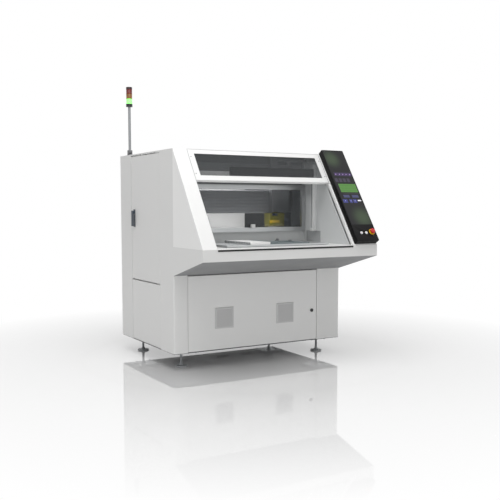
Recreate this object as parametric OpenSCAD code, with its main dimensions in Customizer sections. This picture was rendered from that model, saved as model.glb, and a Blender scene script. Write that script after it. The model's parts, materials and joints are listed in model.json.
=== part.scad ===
// Stand-alone router for separating printed circuit boards: a sheet-metal cabinet on four
// levelling feet, with a ledge and an open loading bay in front, and the process chamber behind.
// Millimetres. X runs to the right, Y to the rear, Z up. The origin is on the floor,
// midway between the sides and midway between the front-most and rear-most points.

/* [Cabinet] */
// Width of the machine
body_w = 1400; // [1340:10:1600]
// Depth of the cabinet from its front door to its rear panel
cabinet_d = 970; // [950:10:1100]
// Height of the roof above the floor
roof_z = 1516; // [1500:2:1560]
// Clearance between the floor and the base plate
floor_gap = 116; // [90:1:140]
// Thickness of the cabinet sheets
sheet = 2; // [1.5:0.5:3]
// Depth of the folded edges of the doors and covers
fold_d = 22; // [18:1:26]
// Outer radius of the small bends
bend_r = 3.5; // [3.5:0.5:5]
// Outer radius of the cabinet's upright front corners
corner_r = 14; // [8:1:20]
// Gap between a door and its surround
seam = 3; // [2.5:0.5:5]

/* [Ledge] */
// How far the ledge stands out in front of the cabinet
ledge_reach = 443; // [420:1:460]
// Height of the ledge's sloping underside at the cabinet
ledge_root_z = 657; // [650:1:680]
// Height of the work surface
ledge_top_z = 855; // [850:1:870]
// Height of the ledge's front face
ledge_face_h = 78; // [70:1:90]
// Width of the rim round the bay floor
ledge_rim = 16; // [14:1:30]
// Thickness of the rubber strip on the ledge's front edge
edge_strip = 7; // [5:1:9]

/* [Front door] */
// Cabinet front to the left of the door
jamb_left = 105; // [95:1:115]
// Cabinet front to the right of the door
jamb_right = 210; // [190:1:230]
// Side of the square ventilation grilles
vent_size = 148.5; // [120:0.5:160]
// Centre of the left grille, from the cabinet's left side
vent_left_x = 391; // [350:1:430]
// Centre of the right grille, from the cabinet's left side
vent_right_x = 902.5; // [850:0.5:950]
// Height of the grille centres
vent_z = 343; // [300:1:400]
// Height of the door lock
lock_z = 345; // [300:1:400]
// Diameter of the door lock's body
lock_d = 26; // [22:1:30]

/* [Side doors] */
// Width of the doors in the sides
side_door_w = 530; // [500:5:560]
// Side strip in front of those doors
side_strip = 220; // [200:5:240]
// Height of the seam between the upper door and the lower cover
side_seam_z = 578; // [560:1:600]
// Gap between the upper door and the roof
roof_seam = 8; // [6:1:12]
// Height of the folded edge of the roof
roof_edge = 9; // [8:1:12]
// Length of the swing handles
handle_l = 119; // [100:1:130]
// Width of the swing handles
handle_w = 26; // [22:1:30]
// Height of the middle of the swing handles
handle_z = 1040; // [1000:5:1080]

/* [Upper window] */
// Length of the framed window, down the slope
window_l = 258; // [240:1:270]
// Frame width above the glass
window_top = 37; // [30:1:45]
// Frame width beside the glass
window_side = 43; // [35:1:50]
// Frame width below the glass
window_bottom = 40; // [35:1:50]
// Thickness of the window panes
pane_t = 5; // [4:0.5:6]

/* [Loading bay] */
// Distance from the cabinet's front plane back to the process wall
wall_back = 160; // [155:1:180]
// Height of the slot for the table, above the bay floor
slot_h = 83; // [80:1:90]
// Height of the sliding sash
sash_h = 344; // [330:1:350]
// Width of the sash's frame members
sash_bar = 32; // [28:1:36]
// Thickness of the sash
sash_t = 18; // [16:1:22]
// Travel of the sash
sash_travel = 190; // [150:5:200]
// Width and depth of the light-curtain posts
post_w = 42; // [38:1:46]

/* [Table and spindle] */
// Width of the shuttle table
table_w = 820; // [780:5:860]
// Depth of the shuttle table
table_d = 370; // [340:5:380]
// Thickness of the table's plate
table_t = 12; // [10:1:15]
// Travel of the table into the process chamber
table_travel = 480; // [440:5:500]
// Width of the spindle carriage
carriage_w = 158; // [150:1:170]
// Position of the carriage, from the cabinet's left side
carriage_x = 1055; // [900:1:1060]
// Diameter of the router spindle
spindle_d = 40; // [36:1:42]
// Height of the ribbed beam cover
beam_h = 176; // [160:1:180]
// Pitch of the ribs
rib_pitch = 11; // [8:0.5:14]

/* [Control panel] */
// Width of the control panel
panel_w = 197; // [190:1:204]
// Length of the control panel, down the slope
panel_l = 796; // [780:1:800]
// How far the control panel stands proud of the slope
panel_t = 42; // [36:1:48]
// Length of its screen
screen_l = 650; // [620:1:665]
// Diameter of the push buttons
button_d = 22; // [19:1:24]
// Diameter of the emergency stop's mushroom head
estop_d = 38; // [35:1:40]

/* [Signal tower] */
// Diameter of the pole
pole_d = 20; // [18:1:25]
// Length of the pole
pole_l = 350; // [300:5:400]
// Diameter of the lamp modules
lamp_d = 48; // [40:1:60]
// Height of each lamp module
lamp_h = 42; // [35:1:50]
// Distance of the pole from the cabinet's left side
pole_x = 40; // [32:1:60]
// Distance of the pole from the cabinet's rear
pole_rear = 100; // [60:1:140]

/* [Feet] */
// Diameter of the foot pads
foot_d = 86; // [70:1:100]
// Diameter of the foot spindles
foot_screw_d = 18; // [16:1:20]
// Distance of the feet from the cabinet's sides
foot_inset_x = 117; // [105:1:130]
// Distance of the feet from the cabinet's front and rear
foot_inset_y = 136; // [120:1:150]

/* [Extraction] */
// Inner diameter of the extraction spigot
spigot_d = 100; // [80:5:125]
// Length of the extraction spigot behind the rear panel
spigot_l = 60; // [50:1:80]

/* [Hidden] */
$fn = 48;
run_gap = 0.3;                                   // gap between bodies that slide or turn
pin_fit = 0.08;                                  // radial clearance of a pin in its hole
eps = 1;                                         // how far a cutter passes its face

slope_a = atan2(roof_z - ledge_top_z, ledge_reach);
slope_l = norm([roof_z - ledge_top_z, ledge_reach]);
panel_top = 10;                                  // the panel rises this far past the roof's edge
panel_foot = panel_l - panel_top;                // distance of the panel's foot down the slope
front_reach = panel_foot * cos(slope_a) + panel_t * sin(slope_a);
left_x = -body_w / 2;
right_x = body_w / 2;
front_y = (front_reach - cabinet_d - spigot_l) / 2;
rear_y = front_y + cabinet_d;
base_t = 3;
base_top = floor_gap + base_t;                   // top of the base plate
ledge_front_y = front_y - ledge_reach;
roof_under = roof_z - roof_edge;

// base frame
tube = 60;                                       // square tube of the base frame
tube_wall = 3;
tube_in = 48;                                    // its distance from the cabinet's skins
frame_top = 660;
header_z = ledge_root_z - base_t;                // rail above the front door

// front door and side doors
door_foot = base_top + seam;
door_x0 = left_x + jamb_left + seam;
door_x1 = right_x - jamb_right - seam;
door_w = door_x1 - door_x0;
door_h = header_z - seam - door_foot;
pivot_in = fold_d / 2;                           // hinge pins lie this far behind the skin
pivot_edge = 30;                                 // and this far from the door's edge
pin_d = 8;
return_d = fold_d + 4;                           // depth of the surround's folded edge
stop_w = 25;                                     // width of the strip a door closes on
side_y0 = front_y + side_strip;                  // front edge of the side opening
side_y1 = side_y0 + side_door_w;                 // rear edge of the side opening
side_top = roof_under - roof_seam;               // top of the upper side doors
lock_x = door_x1 - 44;
swing_y = side_y0 + 70;                          // strips clear the door's swinging edge
handle_y = side_y1 - 61;
cam_l = 50;                                      // reach of the latch cams

// loading bay
bay_x0 = left_x + jamb_left;
bay_x1 = right_x - jamb_right - 11;
bay_w = bay_x1 - bay_x0;
wall_y = front_y + wall_back;
floor_t = 3;
floor_z = ledge_top_z + floor_t;                 // top of the bay floor
sash_z = floor_z + slot_h;
sash_gap = 2;                                    // sash to bay walls
win_x0 = bay_x0 + sash_bar + sash_gap;
win_x1 = bay_x1 - sash_bar - sash_gap;
guide = 10;                                      // sash guide rails
liner_in = return_d + 2;                         // bay liners lie this far under the slope
post_foot = sash_z + 3;
post_top = roof_z - 76;
post_y = front_y - 5;
beam_y = front_y + 350;                          // front of the ribbed beam cover
beam_z = 1076;

// table
table_z = floor_z + 3;
table_y = front_y - 335;
table_cx = (bay_x0 + bay_x1) / 2;
leg_w = 12;
leg_l = 60;
leg_x = table_w / 2 - 120;                       // legs and rails, from the table's middle
bed_z = 780;                                     // top of the cast bed
bed_t = 120;
rail_base_t = 20;
rail_w = 20;
rail_h = 18;
rail_z = bed_z + rail_base_t;
rail_y0 = table_y + 15;
rail_l = table_travel + table_d + 40;
block_l = 90;

// control panel, measured on the slope
panel_x0 = right_x - panel_w - 3;
panel_s0 = -panel_top;
key_s = 721;                                     // push buttons, down the slope
start_x = panel_x0 + 61;
stop_x = panel_x0 + 104;
estop_x = panel_x0 + 158;
estop_s = 714;

// signal tower
tower_x = left_x + pole_x;
tower_y = rear_y - pole_rear;
pivot_h = 30;                                    // folding pivot above the roof
tower_pivot_z = roof_z + pivot_h;
pole_foot = tower_pivot_z + 14;
lamp_z = pole_foot + pole_l;

steel = "gainsboro";
shade = "silver";
white = "whitesmoke";
dark = "dimgray";

// ---- shared shapes ----

// Children drawn in Y (first) and Z (second), drawn out along X
module along_x(l) { rotate([90, 0, 90]) linear_extrude(l) children(); }

// Children drawn in X (first) and Z (second), drawn out along Y
module along_y(l) { translate([0, l, 0]) rotate([90, 0, 0]) linear_extrude(l) children(); }

// Frame on the slope: origin at the roof's front edge, Y up the slope, Z out of it
module on_slope() { translate([0, front_y, roof_z]) rotate([slope_a, 0, 0]) children(); }

// Rectangle whose two corners on y = 0 are round
module bent_face(w, d, r) {
    translate([r, 0]) square([w - 2 * r, d]);
    translate([0, r]) square([w, d - r]);
    for (x = [r, w - r]) translate([x, r]) circle(r);
}

module tray_block(w, h, d, r) {
    intersection() {
        linear_extrude(h) bent_face(w, d, r);
        along_x(w) mirror([1, -1, 0]) bent_face(h, d, r);
    }
}

// Folded sheet tray: outer face at y = 0, folded edges towards +Y
module tray(w, h, d = fold_d) {
    difference() {
        tray_block(w, h, d, bend_r);
        translate([sheet, sheet, sheet])
            tray_block(w - 2 * sheet, h - 2 * sheet, d, bend_r - sheet);
    }
}

// The same tray with its outer face towards -X; y is its front edge
module side_tray(y, z, w, h, d = fold_d) {
    translate([left_x, y + w, z]) rotate([0, 0, -90]) tray(w, h, d);
}

module box(x0, x1, y0, y1, z0, z1) {
    translate([x0, y0, z0]) cube([x1 - x0, y1 - y0, z1 - z0]);
}

module upright(x, y, z, h, d) { translate([x, y, z]) cylinder(d = d, h = h); }

// Region in front of the cabinet's front plane and under the slope, drawn in Y and Z
module hood_outline(inset) {
    down = inset / cos(slope_a);
    fore = inset / sin(slope_a);
    polygon([
        [ledge_front_y + fore, ledge_top_z],
        [front_y, roof_z - down],
        [front_y, ledge_top_z]
    ]);
}

// ---- base ----

// Axis positions of the welded tube frame, shared by its outside and its inside
frame_x = [left_x + tube_in, right_x - tube_in - tube];
frame_y = [front_y + return_d + 30, rear_y - tube_in - tube];

module frame_members(inset) {
    w = tube - 2 * inset;
    x0 = frame_x[0] + inset;
    x1 = frame_x[1] + inset;
    y0 = frame_y[0] + inset;
    y1 = frame_y[1] + inset;
    for (x = [x0, x1], y = [y0, y1])
        translate([x, y, base_top + inset]) cube([w, w, frame_top - base_top]);
    for (z = [base_top + inset, frame_top - tube + inset]) {
        for (y = [y0, y1]) translate([x0, y, z]) cube([x1 - x0 + w, w, w]);
        for (x = [x0, x1]) translate([x, y0, z]) cube([w, y1 - y0 + w, w]);
    }
}

module base_frame() color(shade) {
    difference() {
        intersection() {
            frame_members(0);
            box(left_x, right_x, front_y, rear_y, base_top, frame_top);
        }
        frame_members(tube_wall);
    }
    // angle rail over the front door, carried by the front posts
    rail_y = front_y + seam;
    box(frame_x[0], frame_x[1] + tube, rail_y, frame_y[0], header_z, ledge_root_z);
    box(frame_x[0], frame_x[1] + tube, frame_y[0] - base_t, frame_y[0],
        frame_top - tube, header_z);
}

module base_plate() color(shade) difference() {
    box(left_x + sheet, right_x - sheet, front_y + sheet, rear_y - sheet,
        floor_gap, base_top);
    for (x = [left_x + 60, right_x - 255], y = [front_y + 70, rear_y - 70])
        upright(x, y, floor_gap - eps, base_t + 2 * eps, 9);
    for (x = [left_x + 380, 60, right_x - 420])
        translate([x, rear_y - 190, floor_gap - eps]) cube([120, 60, base_t + 2 * eps]);
    for_feet() cylinder(d = foot_screw_d + 8, h = 3 * base_t, center = true);
}

// Children at each foot's axis, at the height of the base plate's underside
module for_feet() {
    for (sx = [-1, 1], y = [front_y + foot_inset_y, rear_y - foot_inset_y])
        translate([sx * (right_x - foot_inset_x), y, floor_gap])
            mirror([sx < 0 ? 1 : 0, 0, 0]) children();
}

bracket_t = 12;
module foot_brackets() color(steel) for_feet() difference() {
    translate([-96, -82, -bracket_t]) cube([186, 164, bracket_t]);
    translate([0, 0, -bracket_t - eps]) cylinder(d = foot_screw_d + 2 * pin_fit,
                                                 h = bracket_t + 2 * eps);
    for (y = [-22, 22]) translate([60, y, -bracket_t - eps])
        cylinder(d = 26, h = bracket_t + 2 * eps);
    translate([47, -22, -bracket_t - eps]) cube([26, 44, bracket_t + 2 * eps]);
    for (x = [-82, 30], y = [-66, 66]) translate([x, y, -bracket_t - eps])
        cylinder(d = 9, h = bracket_t + 2 * eps);
}

nut_h = 14;
module levelling_feet() color(steel) for_feet() translate([0, 0, -floor_gap]) {
    rotate_extrude() polygon([
        [0, 0], [foot_d / 2, 0], [foot_d / 2, 6], [foot_d / 2 - 4, 9],
        [foot_screw_d / 2 + 7, 17], [foot_screw_d / 2 + 7, 24],
        [foot_screw_d / 2, 27], [foot_screw_d / 2, floor_gap + 24], [0, floor_gap + 24]
    ]);
}

module foot_locknuts() color(shade) for_feet()
    translate([0, 0, -bracket_t - nut_h]) difference() {
        cylinder(d = foot_screw_d * 1.75, h = nut_h, $fn = 6);
        translate([0, 0, -eps]) cylinder(d = foot_screw_d + 2 * pin_fit, h = nut_h + 2 * eps);
    }

// ---- cabinet skins ----

// Left side skin with its front jamb; the right side is its mirror image
module side_skin(jamb, latch) {
    open_z = base_top;
    difference() {
        union() {
            // side sheet with the rounded front corner and the jamb beside the front door
            translate([left_x, front_y, base_top]) linear_extrude(ledge_root_z - base_top)
                difference() {
                    union() {
                        translate([corner_r, 0]) square([jamb - corner_r, corner_r]);
                        translate([0, corner_r]) square([corner_r, cabinet_d - corner_r]);
                        translate([corner_r, corner_r]) circle(corner_r);
                    }
                    translate([corner_r, corner_r]) circle(corner_r - sheet);
                    translate([sheet, corner_r]) square([corner_r, cabinet_d]);
                    translate([corner_r, sheet]) square([jamb, 2 * corner_r]);
                }
            box(left_x + jamb - sheet, left_x + jamb, front_y, front_y + return_d,
                base_top, header_z);
            box(left_x, left_x + sheet, front_y, rear_y, ledge_root_z, roof_under);
            box(left_x, left_x + return_d, rear_y - sheet, rear_y, base_top, roof_under);
        }
        box(left_x - eps, left_x + 2 * sheet, side_y0, side_y1, open_z - eps, roof_z);
    }
    // folded edges of the opening, and the strips its covers close on
    for (y = [side_y0 - sheet, side_y1])
        box(left_x, left_x + return_d, y, y + sheet, base_top, roof_under);
    strip_x = left_x + return_d;
    box(strip_x, strip_x + sheet, side_y1 - stop_w, side_y1 + sheet, base_top, roof_under);
    box(strip_x, strip_x + sheet, swing_y, side_y1, roof_under - 3 * roof_seam, roof_under);
    box(strip_x, strip_x + sheet, swing_y, side_y1, side_seam_z, side_seam_z + stop_w);
    box(strip_x, strip_x + sheet, side_y0 - sheet, side_y1, side_seam_z - stop_w, side_seam_z);
    box(strip_x, strip_x + sheet, side_y0 - sheet, side_y1, base_top, base_top + stop_w);
    // strip that the front door's lock catches behind
    if (latch) box(left_x + jamb - sheet, left_x + jamb + stop_w, front_y + return_d,
                   front_y + return_d + sheet, base_top, header_z);
    // lugs that carry the upper door's hinge pins
    box(left_x + sheet, strip_x + sheet, side_y0 - sheet, side_y0 + 2 * pivot_edge,
        side_top + seam, roof_under);
    box(left_x + sheet, strip_x + sheet, side_y0 - sheet, side_y0 + 2 * pivot_edge,
        side_seam_z - seam / 2, side_seam_z + seam / 2);
}

module left_side_panel() color(shade) side_skin(jamb_left, false);
module right_side_panel() color(shade) mirror([1, 0, 0]) side_skin(jamb_right, true);

spigot_x = left_x + 480;
spigot_z = 1140;
flange_d = spigot_d + 50;
spigot_in = 22;                                  // it reaches this far inside

module rear_panel() color(shade) {
    w = body_w - 2 * return_d - 2;
    difference() {
        translate([w / 2, rear_y, base_top + 1]) rotate([0, 0, 180])
            tray(w, roof_under - base_top - 2, return_d);
        translate([spigot_x, rear_y + eps, spigot_z]) rotate([90, 0, 0])
            cylinder(d = spigot_d + 6 + 2 * pin_fit, h = 10);
        // two fields of ventilation slots
        for (sx = [-1, 1], row = [0:9])
            translate([sx * 340 - 110, rear_y - 10, 300 + 18 * row]) cube([220, 20, 7]);
    }
}

module exhaust_spigot() color(steel)
    translate([spigot_x, rear_y, spigot_z]) rotate([-90, 0, 0]) difference() {
        union() {
            cylinder(d = flange_d, h = 3);
            translate([0, 0, -spigot_in]) cylinder(d = spigot_d + 6, h = spigot_l + spigot_in);
            translate([0, 0, spigot_l - 6]) cylinder(d = spigot_d + 12, h = 6);
        }
        translate([0, 0, -spigot_in - eps])
            cylinder(d = spigot_d, h = spigot_l + spigot_in + 2 * eps);
        for (a = [45:90:315]) rotate(a) translate([flange_d / 2 - 10, 0, -eps])
            cylinder(d = 5.5, h = 3 + 2 * eps);
    }

module roof_panel() color(white) difference() {
    box(left_x, right_x, front_y, rear_y, roof_under, roof_z);
    box(left_x + sheet, right_x - sheet, front_y - eps, rear_y - sheet,
        roof_under - eps, roof_z - sheet);
}

// ---- ledge and hood ----

module ledge_outline(inset) {
    y1 = front_y + (inset > 0 ? eps : 0);
    polygon([
        [y1, ledge_root_z + inset],
        [ledge_front_y + inset, ledge_top_z - ledge_face_h + inset],
        [ledge_front_y + inset, ledge_top_z - inset],
        [y1, ledge_top_z - inset]
    ]);
}

module ledge() color(steel) difference() {
    translate([left_x, 0, 0]) along_x(body_w) ledge_outline(0);
    translate([left_x + sheet, 0, 0]) along_x(body_w - 2 * sheet) ledge_outline(sheet);
    box(bay_x0 + ledge_rim, bay_x1 - ledge_rim, ledge_front_y + 3 * ledge_rim, front_y + eps,
        ledge_top_z - 2 * sheet, ledge_top_z + eps);
}

module ledge_edge_strip() color("black")
    box(bay_x0 + 1, right_x - jamb_right - 6, ledge_front_y + 3, ledge_front_y + 3 + edge_strip,
        ledge_top_z, ledge_top_z + edge_strip);

// Side sheet and slanting front band of the hood, folded from one sheet
module cheek(band) {
    intersection() {
        translate([left_x, 0, 0]) along_x(band) hood_outline(0);
        difference() {
            on_slope() translate([left_x, -slope_l - 50, 0]) rotate([-90, 0, 0])
                linear_extrude(slope_l + 100) difference() {
                    bent_face(band, slope_l, bend_r);
                    translate([sheet, sheet])
                        bent_face(band - 2 * sheet, slope_l, bend_r - sheet);
                }
            // the inner fold is only as deep as the window's own folded edge
            on_slope() translate([left_x + 2 * sheet, -slope_l - 50, -slope_l])
                cube([band, slope_l + 100, slope_l - return_d]);
        }
    }
}

module left_cheek() color(white) cheek(jamb_left);
module right_cheek() color(white) mirror([1, 0, 0]) cheek(jamb_right);

fit = 0.5;                                       // gap round the window frame
module window_frame() color(white) {
    w = body_w - jamb_left - jamb_right - 2 * fit;
    x0 = left_x + jamb_left + fit;
    on_slope() difference() {
        translate([x0, -window_l, 0]) rotate([-90, 0, 0]) tray(w, window_l - sheet, fold_d);
        translate([x0 + window_side, -window_l + window_bottom, -sheet - eps])
            cube([w - 2 * window_side, window_l - window_bottom - window_top, sheet + 2 * eps]);
    }
}

module window_pane() color("slategray", 0.6) {
    lap = 12;
    on_slope() translate([left_x + jamb_left + fit + window_side - lap,
                          -window_l + window_bottom - lap, -sheet - pane_t])
        cube([body_w - jamb_left - jamb_right - 2 * fit - 2 * (window_side - lap),
              window_l - window_bottom - window_top + 2 * lap, pane_t]);
}

module window_screws() color(dark) on_slope()
    for (x = [left_x + jamb_left + 15, right_x - jamb_right - 8 - 8], s = [64, 203])
        translate([x, -s, 0]) {
            cylinder(d1 = 9, d2 = 6, h = 2);
        }

// ---- loading bay ----

slot_w = leg_w + 4;
module bay_floor() color(steel) difference() {
    box(bay_x0 + 1, bay_x1 - 1, ledge_front_y + 2 * ledge_rim, wall_y - sash_t - 4,
        ledge_top_z, floor_z);
    for (side = [-1, 1])
        box(table_cx + side * leg_x - slot_w / 2, table_cx + side * leg_x + slot_w / 2,
            rail_y0 - 6, wall_y, ledge_top_z - eps, floor_z + eps);
}

// Side wall of the bay, at the left; the table's drive passes the cut-out at its foot
module bay_side_wall(x) {
    difference() {
        union() {
            translate([x, 0, 0]) along_x(sheet) polygon([
                [ledge_front_y + liner_in / sin(slope_a), floor_z],
                [front_y, roof_z - liner_in / cos(slope_a)],
                [wall_y, roof_z - liner_in / cos(slope_a)],
                [wall_y, floor_z]
            ]);
            box(x, x + sheet, front_y - 40, wall_y, ledge_top_z, floor_z);
        }
        box(x - eps, x + sheet + eps, front_y - 58, front_y + 125, ledge_top_z - eps, sash_z + 4);
    }
}

module bay_side_walls() color(shade) {
    bay_side_wall(bay_x0 - sheet);
    bay_side_wall(bay_x1);
}

module light_curtain_posts() color(steel) {
    for (x = [bay_x0, bay_x1 - post_w]) difference() {
        box(x, x + post_w, post_y, post_y + post_w, post_foot, post_top);
        box(x + post_w / 2 - 8, x + post_w / 2 + 8, post_y + 6, post_y + 12,
            post_foot + 30, post_top - 90);
    }
    box(bay_x0 + post_w, bay_x1 - post_w, post_y + 4, post_y + post_w - 4, post_top - 98,
        post_top - 58);
}

module machine_light() color("black") {
    along = bay_x0 + 330;
    difference() {
        box(along, bay_x1 - post_w, post_y - 20, post_y + 4, post_top - 98, post_top - 36);
        box(along + 12, bay_x1 - post_w - 12, post_y - 16, post_y,
            post_top - 98 - eps, post_top - 90);
    }
}

module process_wall() color(shade) difference() {
    box(left_x + return_d + 2 * sheet, right_x - return_d - 2 * sheet, wall_y, wall_y + sheet,
        bed_z, roof_under - 2);
    box(win_x0, win_x1, wall_y - eps, wall_y + 2 * sheet, sash_z + sash_bar,
        sash_z + sash_h - sash_bar);
    box(win_x0 + 10, win_x1 - 10, wall_y - eps, wall_y + 2 * sheet, bed_z - eps, sash_z - 4);
}

module sash_guides() color(shade)
    for (x = [bay_x0 + sash_gap + 11, bay_x1 - sash_gap - 11 - guide])
        box(x, x + guide, wall_y - guide, wall_y, sash_z - 1,
            sash_z + sash_h + sash_travel + guide);

// ---- sliding sash ----

sash_w = bay_w - 2 * sash_gap;
sash_y = wall_y - run_gap - sash_t;

module sash_frame() color(steel) difference() {
    box(bay_x0 + sash_gap, bay_x1 - sash_gap, sash_y, sash_y + sash_t, sash_z, sash_z + sash_h);
    box(win_x0, win_x1, sash_y - eps, sash_y + sash_t + eps, sash_z + sash_bar,
        sash_z + sash_h - sash_bar);
    // grooves that run on the guides
    for (x = [bay_x0 + sash_gap + 11, bay_x1 - sash_gap - 11 - guide])
        box(x - run_gap, x + guide + run_gap, wall_y - guide - run_gap, wall_y,
            sash_z - eps, sash_z + sash_h + eps);
    // rebate for the pane
    box(win_x0 - 6, win_x1 + 6, sash_y + 6, sash_y + 6 + pane_t, sash_z + sash_bar - 6,
        sash_z + sash_h - sash_bar + 6);
}

module sash_pane() color("slategray", 0.6)
    box(win_x0 - 6, win_x1 + 6, sash_y + 6, sash_y + 6 + pane_t, sash_z + sash_bar - 6,
        sash_z + sash_h - sash_bar + 6);

module sash_knob() color(white)
    translate([table_cx + 84, sash_y, sash_z + sash_bar - 8]) rotate([90, 0, 0])
        rotate_extrude() polygon([
            [0, 0], [7, 0], [7, 12], [12, 16], [13, 20], [13, 28], [11, 31], [0, 31]
        ]);

shutter_y = wall_y + sheet + run_gap;
module table_shutter() color(shade) {
    box(win_x0 - 4, win_x1 + 4, shutter_y, shutter_y + 3, floor_z, sash_z + 14);
    box(win_x0 - 4, win_x1 + 4, shutter_y, shutter_y + 14, sash_z + 11, sash_z + 14);
}

// ---- table ----

// Cast bed, cored out from below between its ribs
bed_rib = 16;
bed_skin = 30;
bed_in = 112;                                    // bed to the cabinet's sides
module machine_bed() color(dark) {
    x0 = left_x + bed_in;
    y0 = frame_y[0] + 10;
    cell_x = (body_w - 2 * bed_in - bed_rib) / 6;
    cell_y = (rear_y - tube_in - y0 - bed_rib) / 4;
    difference() {
        box(x0, -x0, y0, rear_y - tube_in, bed_z - bed_t, bed_z);
        for (i = [0:5], j = [0:3])
            translate([x0 + bed_rib + i * cell_x, y0 + bed_rib + j * cell_y,
                       bed_z - bed_t - eps])
                cube([cell_x - bed_rib, cell_y - bed_rib, bed_t - bed_skin + eps]);
    }
}

module table_rails() color(shade) {
    w = 2 * leg_x + 120;
    box(table_cx - w / 2, table_cx + w / 2, rail_y0 - 10, rail_y0 + rail_l + 10, bed_z, rail_z);
    for (side = [-1, 1])
        box(table_cx + side * leg_x - rail_w / 2, table_cx + side * leg_x + rail_w / 2,
            rail_y0, rail_y0 + rail_l, rail_z, rail_z + rail_h);
}

module shuttle_table() color(steel) {
    difference() {
        box(table_cx - table_w / 2, table_cx + table_w / 2, table_y, table_y + table_d,
            table_z, table_z + table_t);
        for (ix = [-3:3], iy = [0:2])
            upright(table_cx + ix * 110, table_y + table_d / 2 + (iy - 1) * 120,
                    table_z - eps, table_t + 2 * eps, 6.8);
    }
    for (side = [-1, 1], end = [0, 1]) {
        x = table_cx + side * leg_x;
        y = table_y + 25 + end * (table_d - 50 - block_l);
        box(x - leg_w / 2, x + leg_w / 2, y + 15, y + 15 + leg_l, rail_z + rail_h + 8,
            table_z);
        // carriage that runs on the rail
        difference() {
            box(x - 22, x + 22, y, y + block_l, rail_z + 4, rail_z + rail_h + 8);
            box(x - rail_w / 2 - run_gap, x + rail_w / 2 + run_gap, y - eps,
                y + block_l + eps, rail_z, rail_z + rail_h + run_gap);
        }
    }
}

nest_z = table_z + table_t;
module board_nest() color(dark) {
    // carrier plate with its supports, and two clamps at the right
    x0 = table_cx - 330;
    y0 = table_y + 30;
    difference() {
        box(x0, x0 + 560, y0, y0 + 230, nest_z, nest_z + 6);
        box(x0 + 220, x0 + 520, y0 + 60, y0 + 200, nest_z - eps, nest_z + 6 + eps);
    }
    for (iy = [0:2]) box(x0 + 20, x0 + 170, y0 + 20 + 70 * iy, y0 + 60 + 70 * iy,
                         nest_z + 6, nest_z + 22);
    for (x = [x0 + 600, x0 + 650]) {
        box(x, x + 26, y0 + 150, y0 + 200, nest_z, nest_z + 10);
        upright(x + 13, y0 + 175, nest_z + 10, 16, 14);
    }
}

// ---- gantry and spindle ----

column_w = 70;
column_d = 110;
gantry_x0 = table_cx - table_w / 2 - column_w - 30;
gantry_x1 = table_cx + table_w / 2 + column_w + 72;
gantry_y = beam_y + 14;
module gantry_columns() color(dark)
    for (x = [gantry_x0, gantry_x1 - column_w])
        box(x, x + column_w, gantry_y, gantry_y + column_d, bed_z, beam_z + 10);

module gantry_beam() color(dark) {
    difference() {
        box(gantry_x0, gantry_x1, gantry_y, gantry_y + 90, beam_z + 10, beam_z + beam_h - 18);
        box(gantry_x0 - eps, gantry_x1 + eps, gantry_y + 8, gantry_y + 82, beam_z + 20,
            beam_z + beam_h - 28);
    }
    box(gantry_x0 + 10, gantry_x1 - 10, gantry_y + 36, gantry_y + 56, beam_z + beam_h - 18,
        beam_z + beam_h - 2);
}

// Bellows cover: folds that run the length of the beam
module beam_cover() color(dark) {
    n = floor(beam_h / rib_pitch);
    depth = 10;
    fold = [for (i = [0:n], p = [0, 1])
        [p == 0 ? depth : 0, i * rib_pitch + (p == 0 ? 0 : rib_pitch / 2)]];
    translate([gantry_x0, beam_y, beam_z]) along_x(gantry_x1 - gantry_x0)
        polygon(concat([[14, 0]], [for (q = fold) if (q[1] <= beam_h) q], [[14, beam_h]]));
}

carriage_x0 = left_x + carriage_x - carriage_w / 2;
carriage_y = beam_y - 50;
spindle_x = carriage_x0 + 40;
spindle_y = carriage_y + 23;
module spindle_carriage() color(shade) {
    top = beam_z + beam_h;
    difference() {
        box(carriage_x0, carriage_x0 + carriage_w, carriage_y, beam_y - 4, beam_z + 10, top + 6);
        upright(spindle_x, spindle_y, beam_z, 140, spindle_d + 2 * run_gap);
    }
    // arm over the beam and the block on its rail
    box(carriage_x0 + 20, carriage_x0 + carriage_w - 20, beam_y - 5, gantry_y + 80,
        top + run_gap, top + 6);
    difference() {
        box(carriage_x0 + 30, carriage_x0 + carriage_w - 30, gantry_y + 26, gantry_y + 66,
            top - 12, top + 1);
        box(carriage_x0, carriage_x0 + carriage_w, gantry_y + 36 - run_gap,
            gantry_y + 56 + run_gap, top - 20, top - 2 + run_gap);
    }
}

// Spindle with its dust hood and cutter
module spindle_head() color("olive") {
    x = spindle_x;
    y = spindle_y;
    upright(x, y, beam_z - 40, 150, spindle_d);
    difference() {
        box(x - 68, x + 68, y - 30, y + 45, beam_z - 88, beam_z);
        box(x - 60, x + 60, y - 22, y + 37, beam_z - 88 - eps, beam_z - 40);
    }
    upright(x, y, beam_z - 100, 61, 26);
    upright(x, y, beam_z - 112, 13, 3);
}

module extraction_housing() color(white) {
    x0 = left_x + 150;
    x1 = left_x + 817;
    y0 = gantry_y + column_d;
    y1 = rear_y - 14;
    z0 = sash_z + 20;
    z1 = beam_z + beam_h + 14;
    difference() {
        box(x0, x1, y0, y1, z0, z1);
        box(x0 + sheet, x1 - sheet, y0 + sheet, y1 - sheet, z0 + sheet, z1 - sheet);
        translate([spigot_x, y1 + eps, spigot_z]) rotate([90, 0, 0])
            cylinder(d = spigot_d + 6 + 2 * pin_fit, h = 10);
    }
}

// ---- switchgear behind the front door ----

module switchgear() color(shade) {
    x0 = door_x0 + 120;
    x1 = door_x1 - 120;
    y1 = front_y + 300;
    box(x0, x1, y1, y1 + 3, base_top, frame_top - 20);
    for (row = [0:2]) {
        z = base_top + 110 + 150 * row;
        box(x0 + 30, x1 - 30, y1 - 8, y1, z, z + 35);
        for (i = [0:9 - 2 * row])
            box(x0 + 50 + 78 * i, x0 + 50 + 78 * i + 66, y1 - 90, y1 - 8, z - 30, z + 65);
    }
}

// ---- control panel ----

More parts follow.
